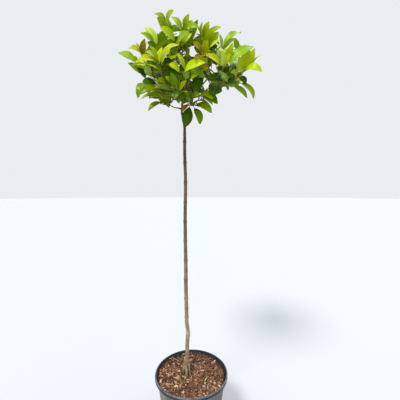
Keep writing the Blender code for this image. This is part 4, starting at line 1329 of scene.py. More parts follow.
frameSide = 400.0
shown = {
    ("top_left", 0): (
        dict(foot=(165.5, 26.5), tip=(154.5, 12.8), tone="fresh", roll=58, curl=1.9),
        dict(foot=(166.5, 31), tip=(157.5, 16.8), tone="yellow", roll=26, curl=0.5, wide=0.48),
        dict(foot=(166.5, 23), tip=(173.5, 9.8), tone="yellow", roll=52, curl=0.9),
        dict(foot=(169, 32), tip=(168.3, 19.5), tone="pale", roll=34, wide=0.44, size=0.8),
        dict(foot=(169.5, 33), tip=(177, 25.5), roll=35, curl=0.8),
        dict(foot=(168, 34), tip=(163.6, 19.5), tone="fresh", roll=36, curl=0.5, behind=0.012),
    ),
    ("top", 0): (
        dict(foot=(181.5, 32), tip=(171.5, 16), tone="pale", roll=45, curl=1.2),
        dict(foot=(184, 31.5), tip=(188.6, 13.8), tone="yellow", roll=28),
        dict(foot=(186.5, 30), tip=(192.5, 20.2), tone="yellow", roll=52, curl=0.6),
        dict(foot=(185, 30), tip=(199.5, 27), tone="fresh", roll=60, curl=1.3, wide=0.27),
    ),
    ("top", 1): (
        dict(foot=(176, 49.5), tip=(192, 33.4), tone="yellow", roll=38, curl=0.8),
        dict(foot=(175.8, 43), tip=(160, 26), tone="yellow", roll=36, curl=0.9, wide=0.40),
        dict(foot=(176.5, 47), tip=(189, 31), tone="fresh", roll=64, curl=0.9),
        dict(foot=(174, 49), tip=(166, 39.5), roll=30, curl=0.5),
    ),
    ("top_left", 1): (
        dict(foot=(159.5, 46.5), tip=(164, 30.5), roll=12, curl=0.3, wide=0.46),
        dict(foot=(158, 47), tip=(143.6, 25.2), tone="pale", roll=42, curl=0.9, wide=0.40),
        dict(foot=(154.5, 46), tip=(140.6, 32), tone="fresh", roll=50, curl=1.1),
        dict(foot=(156, 48), tip=(147.5, 42), roll=15, wide=0.5),
    ),
    ("left", 0): (
        dict(foot=(141.5, 56.5), tip=(128.2, 47.6), tone="gold", roll=60, curl=1.9),
        dict(foot=(142, 55.5), tip=(144.6, 38.6), tone="bronze", roll=18),
        dict(foot=(140.5, 53), tip=(136, 42), tone="pale", roll=48, size=0.6),
        dict(foot=(145.5, 55), tip=(146.8, 42), tone="pale", roll=66, size=0.6),
    ),
    ("left", 1): (
        dict(foot=(138.5, 65), tip=(118.3, 52.3), tone="fresh", roll=44, curl=1.0),
        dict(foot=(144, 76), tip=(128, 62.2), tone="fresh", roll=30, curl=0.8, wide=0.36),
        dict(foot=(146, 76), tip=(136.5, 68), tone="deep", roll=35, curl=0.7),
        dict(foot=(138.5, 63), tip=(134.5, 56), tone="pale", roll=55, size=0.5),
    ),
    ("front_left", 0): (
        dict(foot=(159, 65), tip=(136.6, 62.4), tone="gold", roll=54, curl=1.8, wide=0.35),
        dict(foot=(157.5, 61.5), tip=(146, 51), tone="pale", roll=62, curl=0.9, size=0.8),
        dict(foot=(158.5, 61.5), tip=(150, 46.2), tone="yellow", roll=62, curl=0.5),
        dict(foot=(159.6, 65), tip=(161.2, 46.4), tone="lime", roll=26),
        dict(foot=(160.5, 64.5), tip=(179.5, 43.2), tone="gold", roll=62, curl=1.5, wide=0.28),
        dict(foot=(161, 65.5), tip=(170, 49.6), tone="yellow", roll=64, curl=0.6),
    ),
    ("front", 0): (
        dict(foot=(185.5, 73), tip=(177.3, 52), tone="yellow", roll=58, curl=0.6, wide=0.36),
        dict(foot=(179.5, 72), tip=(168.8, 64), tone="lime", roll=44, curl=1.5, wide=0.46),
        dict(
            foot=(184, 73.4), tip=(205.4, 62.4), tone="lime", roll=44, curl=1.3, wide=0.33, size=1.08,
            behind=-0.026,
        ),
        dict(foot=(185.5, 80.5), tip=(187.2, 69.5), tone="greySheen", roll=10, curl=0.3, wide=0.50),
        dict(foot=(205.5, 78), tip=(190.5, 69), roll=45, curl=0.9, behind=0.035),
    ),
    ("top_right", 0): (
        dict(foot=(201.8, 39), tip=(202.6, 21.5), tone="yellow", roll=62, curl=0.5),
        dict(foot=(203.5, 39.5), tip=(208.7, 21.3), tone="yellow", roll=22, curl=0.5, wide=0.46),
        dict(foot=(206.5, 46), tip=(212, 27.5), tone="yellow", roll=12, curl=0.5, wide=0.54),
        dict(foot=(209, 47), tip=(218.6, 31.8), tone="yellow", roll=24, curl=0.7, wide=0.50),
        dict(foot=(206, 37), tip=(221, 26.6), tone="fresh", roll=60, curl=0.8),
    ),
    ("top", 2): (
        dict(foot=(202.3, 56.5), tip=(193, 41.3), tone="bronze", roll=58, curl=0.8),
        dict(foot=(203.6, 56), tip=(207.8, 40), tone="gold", roll=18, wide=0.46),
        dict(foot=(206.5, 51.5), tip=(219.2, 39.4), tone="lime", roll=76, curl=0.3, wide=0.32),
        dict(foot=(203.5, 57), tip=(217.5, 53), roll=45, curl=1.0, wide=0.44),
    ),
    ("top_right", 1): (
        dict(foot=(222, 50.5), tip=(241.3, 31.2), tone="fresh", roll=50, curl=1.3, wide=0.30),
        dict(foot=(223.5, 50), tip=(236.5, 38.2), roll=56, curl=0.8, wide=0.32),
        dict(foot=(237.5, 50), tip=(234.5, 38), tone="fresh", roll=20, wide=0.5),
        dict(foot=(221.5, 50), tip=(219.6, 33.8), tone="pale", roll=58, curl=0.3, size=0.8),
    ),
    ("front_right", 0): (
        dict(foot=(227, 66.5), tip=(253.5, 46), tone="fresh", roll=42, curl=1.1, wide=0.33),
        dict(foot=(223.2, 67), tip=(221.5, 50.6), tone="pale", roll=42),
        dict(foot=(224.5, 67), tip=(229.8, 52.6), tone="gold", roll=28, wide=0.44),
        dict(foot=(223, 68), tip=(205.6, 54.6), tone="gold", roll=46, curl=1.1, wide=0.33),
    ),
    ("right", 0): (
        dict(foot=(247.5, 68), tip=(254.8, 48.2), tone="yellow", roll=14, curl=0.5, wide=0.42),
        dict(foot=(242.5, 73), tip=(243.6, 53.5), tone="gold", roll=16, wide=0.40),
        dict(foot=(241, 73), tip=(239, 56.5), tone="yellow", roll=40),
        dict(foot=(244, 71.5), tip=(262.8, 71.8), tone="lime", roll=50, curl=1.8, wide=0.42),
        dict(foot=(250.5, 66.5), tip=(260.3, 55.3), tone="pale", roll=68),
    ),
    ("right", 2): (
        dict(foot=(228, 76), tip=(242.3, 78), tone="pale", roll=52, curl=1.9, wide=0.36),
        dict(foot=(232, 72), tip=(238, 60), roll=40, curl=0.6),
        dict(foot=(233, 76), tip=(226, 65), tone="deep", roll=30, curl=0.6),
        dict(foot=(234.5, 75), tip=(233.5, 63), tone="deep", roll=34, curl=0.5, size=0.8),
        dict(foot=(235, 80), tip=(227, 74), tone="deep", roll=36, curl=0.8, size=0.8),
        dict(foot=(236, 79), tip=(243, 71.5), roll=40, curl=0.7, size=0.8),
    ),
    ("right", 1): (
        dict(foot=(239.5, 77), tip=(245.6, 84.5), tone="deep", roll=34, curl=1.2, wide=0.44),
        dict(foot=(231, 85.5), tip=(247.8, 97.8), roll=46, curl=1.1, wide=0.30),
        dict(foot=(239, 83), tip=(254.6, 99.3), tone="olive", roll=46, curl=1.5, wide=0.30),
    ),
    ("front_right", 1): (
        dict(foot=(222, 81.5), tip=(207.2, 79.8), tone="deep", roll=50, curl=1.8, wide=0.36),
        dict(foot=(219, 83.5), tip=(211, 95.2), tone="deep", roll=8, wide=0.58),
        dict(foot=(226.5, 85), tip=(228, 90.3), roll=30, size=0.3),
        dict(foot=(224, 82.5), tip=(237.5, 83.5), tone="deep", roll=42, curl=0.9),
    ),
    ("front_right", 2): (
        dict(foot=(203, 61), tip=(194.5, 56), tone="rust", roll=46, curl=0.9, size=0.5, wide=0.34),
        dict(foot=(199.5, 64), tip=(206, 70), tone="amber", roll=46, curl=0.9, size=0.5, wide=0.30),
        dict(foot=(205.5, 60), tip=(209, 55.6), tone="rust", roll=46, curl=0.6, size=0.4, wide=0.34),
    ),
    ("front_left", 1): (
        dict(foot=(157, 84.5), tip=(142.2, 82), tone="deep", roll=50, curl=1.1, wide=0.42),
        dict(foot=(150, 86.5), tip=(137.8, 98.8), roll=52, curl=2.1, wide=0.30),
        dict(foot=(156.5, 89), tip=(142.8, 85.8), tone="lime", roll=45, curl=0.9, wide=0.42),
        dict(foot=(163, 93), tip=(139.3, 95.2), tone="gold", roll=54, curl=1.4, wide=0.32),
        dict(foot=(163.5, 98.5), tip=(140.3, 99.6), tone="olive", roll=58, curl=1.5, wide=0.28),
        dict(foot=(171, 86.5), tip=(157.5, 79), tone="olive", roll=38, curl=0.8, wide=0.44),
    ),
    ("low_left", 0): (
        dict(foot=(164, 104), tip=(147.8, 110.8), tone="olive", roll=52, curl=1.5, wide=0.27),
        dict(foot=(168.5, 103.5), tip=(159.5, 100.5), roll=34, curl=0.7),
    ),
    ("low_left", 1): (
        dict(foot=(174, 97), tip=(162.8, 93.8), tone="pale", roll=46, curl=0.8),
        dict(
            foot=(175, 98.5), tip=(160.8, 99.2), tone="lime", roll=56, curl=1.0, wide=0.34,
            behind=-0.014,
        ),
        dict(foot=(172, 101.5), tip=(163.5, 105), roll=40, curl=0.8),
    ),
    ("front", 1): (
        dict(foot=(176.5, 92), tip=(152.8, 87.6), tone="greySheen", roll=60, curl=0.8, wide=0.34),
        dict(foot=(177, 91), tip=(171, 72.2), roll=20, wide=0.40),
        dict(foot=(177.6, 90), tip=(180, 77), tone="fresh", roll=56, curl=0.3),
        dict(foot=(173, 84), tip=(165.4, 76.4), tone="lime", roll=42, curl=0.6, size=0.7),
        dict(foot=(178, 91.5), tip=(186.7, 80.2), tone="lime", roll=50, size=0.8),
        dict(foot=(179, 91.8), tip=(187.3, 91.4), tone="lime", roll=70, curl=0.3, size=0.6),
        dict(foot=(180, 96), tip=(179, 103.6), tone="olive", roll=40, curl=0.5, size=0.5),
    ),
    ("low_right", 1): (
        dict(foot=(190, 105), tip=(185.2, 127.2), tone="deep", roll=6, wide=0.49),
        dict(foot=(188.8, 103.5), tip=(182.4, 111.5), tone="amber", roll=48, curl=0.6, size=0.6),
        dict(foot=(194, 107.5), tip=(200.4, 124.3), roll=34, curl=0.9, wide=0.34),
    ),
    ("front", 2): (
        dict(foot=(195, 96), tip=(200.5, 73.2), tone="deep", roll=12, wide=0.50),
        dict(foot=(189, 79.5), tip=(197, 74.8), tone="lime", roll=50, size=0.5, behind=-0.028),
        dict(foot=(189, 98.5), tip=(200, 93), roll=52, curl=0.8),
        dict(foot=(192, 97), tip=(184, 92), roll=40, curl=0.7),
    ),
    ("low_right", 0): (
        dict(
            foot=(198.5, 93), tip=(213, 99.4), tone="lime", roll=50, curl=1.0, wide=0.34,
            behind=-0.022,
        ),
        dict(foot=(203, 96.5), tip=(217.7, 103.8), roll=46, curl=0.9),
        dict(foot=(195.5, 104.5), tip=(212.3, 112.8), tone="fresh", roll=42, curl=1.5, wide=0.36),
        dict(foot=(195.5, 105.5), tip=(204.5, 107), tone="deep", roll=40, curl=0.8),
    ),
    ("left", 2): (
        dict(foot=(160, 67.5), tip=(158, 74), tone="rust", roll=30, curl=0.6, size=0.5),
        dict(foot=(151, 73), tip=(143, 66), roll=40, curl=0.7),
    ),
}
shownLook = dict(
    long=0.074,  # a leaf that looks shorter than this leans towards the viewer
    usual=dict(tone="middle", curl=0.4, wide=0.41, size=1.0, behind=0.0),  # behind its twig, in metres
    beforeTwig=0.002,
    farHalf=0.04,  # behind this depth a leaf leans away
    leanMost=0.80,
    room=dict(grow=0.0004, trim=0.16),
    shoot=(0.0012, 0.00008),  # a shoot's radius at its foot and how much each step takes off
    shootBend=0.004,
    stalkMost=0.012,  # a foot farther than this from its twig gets a shoot of its own
    tries=(  # lean and roll added until the leaf stands clear
        (0.0, 0), (0.14, 0), (-0.14, 0), (0.28, 6), (-0.28, -6),
        (0.42, 10), (-0.42, -10), (0.6, 14), (-0.6, -14),
    ),
)


def seenAt(spot, depth):
    # the place at a given depth that stands at a spot in the frame
    reach = stage["lens"] / stage["sensor"] * frameSide
    ray = Vector(((spot[0] - frameSide / 2) / reach, 1.0, (frameSide / 2 - spot[1]) / reach))
    ray = Matrix.Rotation(math.radians(-stage["cameraDip"]), 3, "X") @ ray
    eye = Vector(stage["cameraPlace"])
    return eye + ray * ((depth - eye.y) / ray.y)


def onFrame(place):
    # the spot in the frame where a place stands, and how far it is
    reach = stage["lens"] / stage["sensor"] * frameSide
    ray = Matrix.Rotation(math.radians(stage["cameraDip"]), 3, "X") @ (place - Vector(stage["cameraPlace"]))
    return frameSide / 2 + reach * ray.x / ray.y, frameSide / 2 - reach * ray.z / ray.y, ray.y


def carrierOf(item, spot):
    # the point of a twig that stands nearest to a spot in the frame
    path = bezierPath(item["path"][0], *item["pulls"], item["path"][-1], 40)
    return min(path[10:], key=lambda p: (seenAt(spot, p.y) - p).length)


def shownPose(root, tip, roll, curl, wide):
    eye = Vector(stage["cameraPlace"])
    along = (tip - root).normalized()
    toEye = eye - root
    toEye = (toEye - along * toEye.dot(along)).normalized()
    over = along.cross(toEye)
    over = over if over.z > 0 else -over
    normal = toEye * math.cos(math.radians(roll)) + over * math.sin(math.radians(roll))
    half = curl / 2
    way = along * math.cos(half) + normal * math.sin(half)
    upper = normal * math.cos(half) - along * math.sin(half)
    length = (tip - root).length * half / math.sin(half)
    return dict(root=root, along=way, upper=upper, length=length, width=length * wide, curl=curl)


def setShownLeaves(crowd, twigs):
    leaves = []
    shoots = []
    most = shownLook["leanMost"]
    for item in twigs:
        for row in shown.get((item["mass"], item["index"]), ()):
            values = {**shownLook["usual"], **row}
            carrier = carrierOf(item, values["foot"])
            foot = seenAt(values["foot"], carrier.y - shownLook["beforeTwig"] + values["behind"])
            across = (seenAt(values["tip"], foot.y) - foot).length
            lean = math.acos(min(across / (shownLook["long"] * values["size"]), 1.0))
            lean = -min(lean, most) * (1.0 if foot.y < shownLook["farHalf"] else -1.0)
            for leanMore, rollMore in shownLook["tries"]:
                leaned = min(max(lean + leanMore, -most), most)
                tip = seenAt(values["tip"], foot.y + across * math.tan(leaned))
                pose = shownPose(foot, tip, values["roll"] + rollMore, values["curl"], values["wide"])
                if crowd.isClear(*plainLeaf(pose, **shownLook["room"])):
                    break
            pose.update(mass=item["mass"], pair=0, sprig=False, tone=values["tone"], carrier=carrier)
            if (foot - carrier).length > shownLook["stalkMost"]:
                way = (item["path"][-1] - item["path"][-2]).normalized()
                bend = carrier.lerp(foot, 0.5) + way * shownLook["shootBend"]
                path = bezierPath(carrier, carrier.lerp(bend, 0.7), bend.lerp(foot, 0.4), foot, 5)
                thick, less = shownLook["shoot"]
                shoots.append(dict(path=path, radii=[thick - less * k for k in range(6)]))
                pose["carrier"] = foot
            leaves.append(pose)
            crowd.add(item["mass"], *plainLeaf(pose))
    return leaves, shoots


# Where the rest may stand as the front sees the crown: inside its outline, clear of the gaps that let the
# sky through, and never before a leaf whose turn is listed

outline = dict(
    edge=(
        (137, 73), (135, 63), (141, 57), (147, 48), (151, 40), (158, 34), (159, 26), (162, 20),
        (168, 17), (173, 24), (177, 28), (183, 26), (187, 18), (192, 24), (200, 27), (206, 25),
        (212, 29), (218, 33), (221, 42), (226, 39), (235, 38), (240, 47), (251, 48), (253, 60),
        (252, 70), (243, 75), (244, 83), (236, 86), (226, 85), (219, 90), (214, 97), (214, 103),
        (206, 109), (196, 110), (190, 105), (181, 102), (172, 104), (163, 104), (158, 101), (146, 97),
        (139, 95), (140, 87), (146, 82), (156, 82), (152, 77), (143, 76),
    ),
    bare=(  # only the crown's far half shows here
        ((185.5, 55.0), 4.0, 7.0), ((168.5, 60.0), 4.0, 3.0), ((222.5, 66.5), 4.5, 3.0),
    ),
    bareDepth=0.86,
    gaps=(  # middle, half width and half height
        ((177.5, 61.5), 3.6, 2.6), ((190.5, 37.0), 2.6, 4.4), ((192.6, 51.5), 2.4, 5.5),
        ((174.6, 33.5), 1.8, 4.0), ((176.5, 24.5), 2.2, 3.0), ((164.6, 43.0), 1.6, 1.8),
        ((213.5, 69.5), 3.6, 4.8), ((206.0, 80.5), 2.6, 4.6), ((207.0, 89.0), 2.8, 3.4),
        ((243.6, 55.0), 1.8, 2.4), ((230.6, 45.0), 1.6, 2.2), ((151.0, 79.0), 5.0, 1.8),
        ((194.0, 73.5), 2.0, 1.8), ((157.0, 103.0), 6.0, 1.6), ((149.0, 102.5), 7.0, 2.0),
        ((174.0, 103.5), 5.0, 2.2), ((199.0, 99.0), 3.0, 1.6), ((223.0, 92.0), 6.0, 4.0),
    ),
    outMost=1,  # so many of a leaf's sample points may stand outside, and so many before a turned leaf
    overMost=1,
    samples=((0.25, 0.5, 0.75, 1.0), 0.8),  # along a leaf, and share of its half width
    maskSamples=((0.12, 0.3, 0.5, 0.7, 0.88, 1.0), 0.95),
)


def insideOutline(x, y, edge):
    inside = False
    for (ax, ay), (bx, by) in zip(edge, (*edge[1:], edge[0])):
        if (ay > y) != (by > y) and x < ax + (bx - ax) * (y - ay) / (by - ay):
            inside = not inside
    return inside


def leafSpots(pose, shares, part):
    # sample points round a leaf, as the frame sees them
    side = pose["along"].cross(pose["upper"]).normalized()
    spots = []
    for share in shares:
        centre = leafSpine(pose, share, step=0.0)[0]
        half = pose["width"] / 2 * part * (math.sin(math.pi * share) ** 0.8 if share < 1.0 else 0.0)
        spots += [onFrame(centre + side * half * sign) for sign in ((1, -1) if half else (0,))]
    return spots


def isWithin(x, y, oval):
    (middleX, middleY), wide, tall = oval
    return ((x - middleX) / wide) ** 2 + ((y - middleY) / tall) ** 2 < 1.0


class FrontView:
    # what the front shows already
    def __init__(self, leaves):
        self.masks = []
        for pose in leaves:
            spots = leafSpots(pose, *outline["maskSamples"])
            ring = [s[:2] for s in spots[::2]] + [s[:2] for s in reversed(spots[1::2])]
            self.masks.append((ring, boxOf(spots), sum(s[2] for s in spots) / len(spots)))

    def allows(self, pose):
        out = over = 0
        for x, y, depth in leafSpots(pose, *outline["samples"]):
            out += not insideOutline(x, y, outline["edge"])
            if depth < outline["bareDepth"] and any(isWithin(x, y, oval) for oval in outline["bare"]):
                return False
            if any(isWithin(x, y, oval) for oval in outline["gaps"]):
                return False
            for ring, (low, high), far in self.masks:
                if depth <= far and low[0] < x < high[0] and low[1] < y < high[1]:
                    over += insideOutline(x, y, ring)
        return out <= outline["outMost"] and over <= outline["overMost"]


crowd = Crowding()
for nodeName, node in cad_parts.items():
    if nodeName.startswith(("trunk", "bough_")):
        node.data.calc_loop_triangles()
        corners = [v.co.copy() for v in node.data.vertices]
        crowd.add(nodeName, corners, [tuple(t.vertices) for t in node.data.loop_triangles])
twigs = planTwigs(crowd)
leaves, shownShoots = setShownLeaves(crowd, twigs)
view = FrontView(leaves)
print(len(twigs), "twigs,", len(leaves), "leaves turned by hand and", len(shownShoots), "shoots for them")
leaves += planLeaves(crowd, view, twigs)
print(len(leaves), "leaves on the twigs")

# Side shoots: short, finer twigs between the leaf pairs, each with smaller and older leaves

sprig = dict(
    seed=40,
    shares=(0.34, 0.50, 0.64, 0.77),
    reach=(0.020, 0.042),
    thick=0.0011,
    thin=0.0008,
    pairs=(  # distance from the tip, spread in degrees, share of full length
        (0.001, 26, 0.52), (0.008, 55, 0.62), (0.020, 76, 0.56),
    ),
    missing=0.16,
    sizeSpread=(0.82, 1.18),
    turnSpread=(-0.3, 0.3),
    openSpread=(-0.2, 0.2),
    droopStep=0.10,
    droopSpread=(-0.05, 0.15),
    widthSpread=(0.95, 1.20),
    curl=(0.10, 0.60),
    spans=5,
    turnStep=2.4,
    heading=(0.55, 0.75, 0.25),  # shares of the twig's own way, of outward and of up
    pulls=(0.4, 0.3),
    leafHeading=(0.7, 0.3),
    leafyPart=0.8,
    roomWider=1.6,
    room=dict(grow=0.0006, trim=0.14),
    margin=0.006,  # how far past its mass's own box a shoot may reach
)


def insideReach(points, box):
    low, high = box
    margin = sprig["margin"]
    return all(low[k] - margin <= p[k] <= high[k] + margin for p in points for k in range(3))


def growSprigs():
    shoots = []
    spans = sprig["spans"]
    for number, item in enumerate(twigs):
        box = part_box(f"foliage_{item['mass']}")

        def isFree(pose, box=box):
            outer = plainLeaf(pose, **sprig["room"])
            return insideReach(outer[0], box) and crowd.isClear(*outer)

        for slot, share in enumerate(sprig["shares"]):
            chance = random.Random(sprig["seed"] * 1009 + number * 31 + slot)
            base, way = pointOn(item["path"], share)
            turn = sprig["turnStep"] * (slot + number) + chance.uniform(-0.5, 0.5)
            outward = Matrix.Rotation(turn, 3, way) @ way.orthogonal().normalized()
            run = chance.uniform(*sprig["reach"])
            onward, outOf, upward = sprig["heading"]
            heading = (way * onward + outward * outOf + skyUp * upward).normalized()
            tip = base + heading * run
            leave = base + (way * 0.3 + outward).normalized() * run * sprig["pulls"][0]
            path = bezierPath(base, leave, tip - heading * run * sprig["pulls"][1], tip, spans)
            radii = [sprig["thick"] + (sprig["thin"] - sprig["thick"]) * k / spans for k in range(spans + 1)]
            fromBase = [pointOn(path, 0.25 + 0.15 * k)[0] for k in range(6)]
            room = plainTube(fromBase, [r * sprig["roomWider"] for r in radii], 3)
            if not insideReach(path, box) or not crowd.isClear(*room):
                continue
            grown = []
            tipHeading = (heading * sprig["leafHeading"][0] + skyUp * sprig["leafHeading"][1]).normalized()
            for pair, (fromTip, spread, size) in enumerate(sprig["pairs"]):
                for side in (0, 1):
                    length = leaf["long"] * size * chance.uniform(*sprig["sizeSpread"])
                    shape = (
                        turn + pair * math.pi / 2 + side * math.pi + chance.uniform(*sprig["turnSpread"]),
                        math.radians(spread) + chance.uniform(*sprig["openSpread"]),
                        sprig["droopStep"] * pair + chance.uniform(*sprig["droopSpread"]),
                        length,
                        length * leaf["wide"] * chance.uniform(*sprig["widthSpread"]),
                        chance.uniform(*sprig["curl"]),
                    )
                    if chance.random() < sprig["missing"] or fromTip > run * sprig["leafyPart"]:
                        continue
                    base, _way = pointOn(path, 1.0 - fromTip / run)
                    found = clearLeaf(view, leaf["tries"], isFree, tipHeading, base, *shape)
                    if found:
                        found.update(mass=item["mass"], twig=item["index"], pair=pair, sprig=True)
                        grown.append(found)
                        crowd.add(item["mass"], *plainLeaf(found))
            if grown:
                shoots.append(dict(path=path, radii=radii))
                leaves.extend(grown)
                crowd.add(item["mass"], *room)
    return shoots


sprigs = shownShoots + growSprigs()
print(len(sprigs), "side shoots,", len(leaves), "leaves in all")

# Twig bark

twigLook = dict(
    sides=8,
    stepLong=0.0032,
    nodeEvery=0.026,
    swell=0.34,
    swellReach=0.0022,
    skin=(1.0, 60.0, 1.0, 0.08),
    joint=0.004,  # how far a twig's foot runs back into what carries it
    budShape=((0.0, 0.55), (0.25, 0.95), (0.55, 0.7), (0.85, 0.22)),  # along a scale, and its radius
    budLong=0.0085,
    budWide=0.0019,
    budLeans=(0.0, 0.32, -0.32),  # the heart first, then its two scales
    scaleLong=0.72,  # by the heart
    budStout=(0.8, 0.55),  # the heart's share of the width, and a scale's
    twigAges=(0.45, 0.80),  # share of the length where the bark turns young, and where it turns green
    sprigAges=(0.0, 0.4),
    finishes=(  # colour and how matt it is
        ("twigOld", shade(108, 78, 56), 0.7),
        ("twigYoung", shade(134, 96, 62), 0.6),
        ("twigShoot", shade(128, 124, 58), 0.5),
        ("leafBud", shade(132, 142, 52), 0.45),
    ),
)


def twigFinish(name, colour, gloss):
    finish = Finish(name, Roughness=gloss, Specular_IOR_Level=0.45)
    streak = finish.grain(240.0, 4.0, 0.6, finish.stretched(1.0, 1.0, 0.4))
    base = finish.tinted(streak, colour, 0.62, 1.25, (0.30, 0.52, 0.75))
    flecks = finish.span(finish.cells(900.0), 0.14, 0.06)
    finish.colour(finish.mix(finish.times(flecks, 0.35), base, shade(196, 178, 140)))
    finish.bump(finish.grain(1100.0, 3.0, 0.6), 0.0003, 0.5)
    return finish.material


def makeTwigs():
    pile = MeshPile()
    sides = twigLook["sides"]
    for seed, item in enumerate(twigs + sprigs):
        isSprig = "pulls" not in item
        spans = max(int(pathLength(item["path"]) / twigLook["stepLong"]), 6)
        if isSprig:
            path = [pointOn(item["path"], k / spans)[0] for k in range(spans + 1)]
        else:
            path = bezierPath(item["path"][0], *item["pulls"], item["path"][-1], spans)
        thick, thin = item["radii"][0], item["radii"][-1]
        radii = [thick + (thin - thick) * k / spans for k in range(spans + 1)]
        if not isSprig and item["index"] == 0:
            path.insert(0, path[0] - item["setOff"] * twigLook["joint"])
            radii.insert(0, radii[0])
        relief = limbRelief(twigLook, seed, stepsAlong(path), radii)
        points, faces = limbMesh(path, radii, sides, relief, capPush=0.0004)
        # the bark turns young and then green towards the tip
        shares = [(number // sides) / (len(path) + 1) for number in range(len(faces))]
        young, green = twigLook["sprigAges"] if isSprig else twigLook["twigAges"]
        pile.add(points, faces, [(share >= young) + (share >= green) for share in shares])
        addBud(pile, path[-1], (path[-1] - path[-2]).normalized(), 0.7 if isSprig else 1.0)
    finishes = [twigFinish(name, colour, gloss) for name, colour, gloss in twigLook["finishes"]]
    return pile.piece("twigBark", finishes, sharpAngle=70)


def addBud(pile, place, along, size):
    # two clasping scales round a pointed heart
    side = along.orthogonal().normalized()
    long, wide = twigLook["budLong"] * size, twigLook["budWide"] * size
    heartWide, scaleWide = twigLook["budStout"]
    for k, lean in enumerate(twigLook["budLeans"]):
        way = (along + side * lean).normalized()
        start = place - along * 0.0006 + side * (lean * wide)
        length = long * (twigLook["scaleLong"] if k else 1.0)
        shape = twigLook["budShape"]
        path = [start + way * (length * t) - side * (lean * length * 0.5 * t * t) for t, _r in shape]
        radii = [wide * (scaleWide if k else heartWide) * r for _t, r in shape]
        pile.add(*limbMesh(path, radii, 6, capPush=0.0007), 3)


twigPiece = makeTwigs()
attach(twigPiece, "root")
print("twigs and buds made:", len(twigPiece.data.polygons), "faces")

# Leaf blades and stalks

blade = dict(
    stalk=0.085,  # share of a leaf's length that is stalk
    rows=(0.0, 0.05, 0.15, 0.27, 0.39, 0.51, 0.63, 0.75, 0.86, 0.945),
    columns=(-1.0, -0.62, -0.055, 0.055, 0.62, 1.0),
    thick=0.00050,
    ridge=0.0007,  # the midrib stands this far out below
    seed=9001,
    seedStep=13,
    peak=(0.88, 1.12),  # where the blade is widest
    fullness=0.82,
    fold=0.26,
    foldSpread=(0.5, 1.4),
    rolled=(0.03, 0.11),  # how far the edge turns down
    waves=(1.6, 2.6),
    wave=0.045,
    vein=0.0045,  # of the width, how deep the side veins are pressed in
    veinPart=(0.3, 0.9),  # from and to which part of the half width
    twist=0.35,
    twistFrom=0.3,
    tipBend=(0.05, 0.45),
    bendFrom=0.55,
    narrowest=0.0007,
    fullWave=6.28,
    stalkShares=(0.0, 0.5, 1.0, 1.25),
    stalkRadii=(0.0013, 0.0009, 0.0008, 0.0005),
    leadRadii=(0.0014, 0.0011, 0.0010, 0.0009, 0.0009, 0.0008, 0.0005),  # with the lead from its twig
    leadSag=((0.35, 0.0006), (0.7, 0.0004)),
    stalkTones=(("stalkYoung", shade(122, 134, 40), 0.45), ("stalkOld", shade(140, 112, 62), 0.5)),
)
tones = dict(  # upper side, lower side, midrib
    lime=(shade(172, 194, 3), shade(166, 184, 28), shade(194, 210, 48)),
    gold=(shade(172, 180, 3), shade(160, 168, 22), shade(190, 194, 40)),
    yellow=(shade(154, 174, 2), shade(142, 160, 20), shade(168, 184, 38)),
    fresh=(shade(126, 158, 2), shade(120, 146, 22), shade(146, 174, 42)),
    middle=(shade(98, 132, 2), shade(98, 124, 20), shade(116, 148, 38)),
    deep=(shade(54, 88, 3), shade(72, 100, 18), shade(78, 114, 30)),
    olive=(shade(136, 152, 2), shade(124, 136, 20), shade(152, 162, 40)),
    bronze=(shade(146, 130, 8), shade(138, 124, 34), shade(168, 148, 42)),
    rust=(shade(150, 100, 12), shade(136, 92, 20), shade(168, 120, 40)),
    # painted highlight: this pale green stands in for the sky's reflection on glossy leaves
    pale=(shade(166, 190, 58), shade(160, 184, 84), shade(196, 214, 110)),
    # painted sheen: this grey-green stands in for a bluish-white reflection on the leaf
    greySheen=(shade(108, 138, 36), shade(122, 146, 70), shade(146, 174, 84)),
    amber=(shade(184, 122, 8), shade(160, 106, 20), shade(196, 142, 44)),
)
palettes = dict(  # which tones each pair of leaves draws from, the youngest pair first
    sunny=("lime yellow", "lime yellow yellow", "yellow fresh", "fresh middle", "middle deep"),
    gold=("lime yellow", "lime lime yellow", "lime yellow olive", "fresh middle", "middle deep"),
    # draws the pale tone, a painted highlight
    paintedSheen=("yellow pale", "pale yellow", "fresh pale", "middle fresh", "middle deep"),
    tanned=("bronze olive", "olive yellow", "yellow fresh", "middle deep", "deep deep"),
    shaded=("lime fresh", "fresh middle", "middle deep", "deep deep", "deep deep"),
    dusk=("fresh middle", "middle deep", "deep deep", "deep deep", "deep deep"),
)
sprays = {  # each spray's palette, by mass and twig
    "top": ("sunny", "gold", "gold"),
    "top_left": ("sunny", "paintedSheen", "sunny"),
    "top_right": ("sunny", "sunny", "paintedSheen"),
    "top_back": ("sunny", "sunny", "paintedSheen"),
    "left": ("tanned", "paintedSheen", "sunny"),
    "right": ("gold", "sunny", "paintedSheen"),
    "front_left": ("gold", "paintedSheen", "gold"),
    "front": ("gold", "shaded", "dusk"),
    "front_right": ("gold", "shaded", "gold"),
    "low_left": ("sunny", "shaded"),
    "low_right": ("paintedSheen", "dusk"),
    "back_left": ("sunny", "gold", "shaded"),
    "back_right": ("gold", "sunny", "shaded"),
    "back": ("gold", "shaded", "shaded"),
}


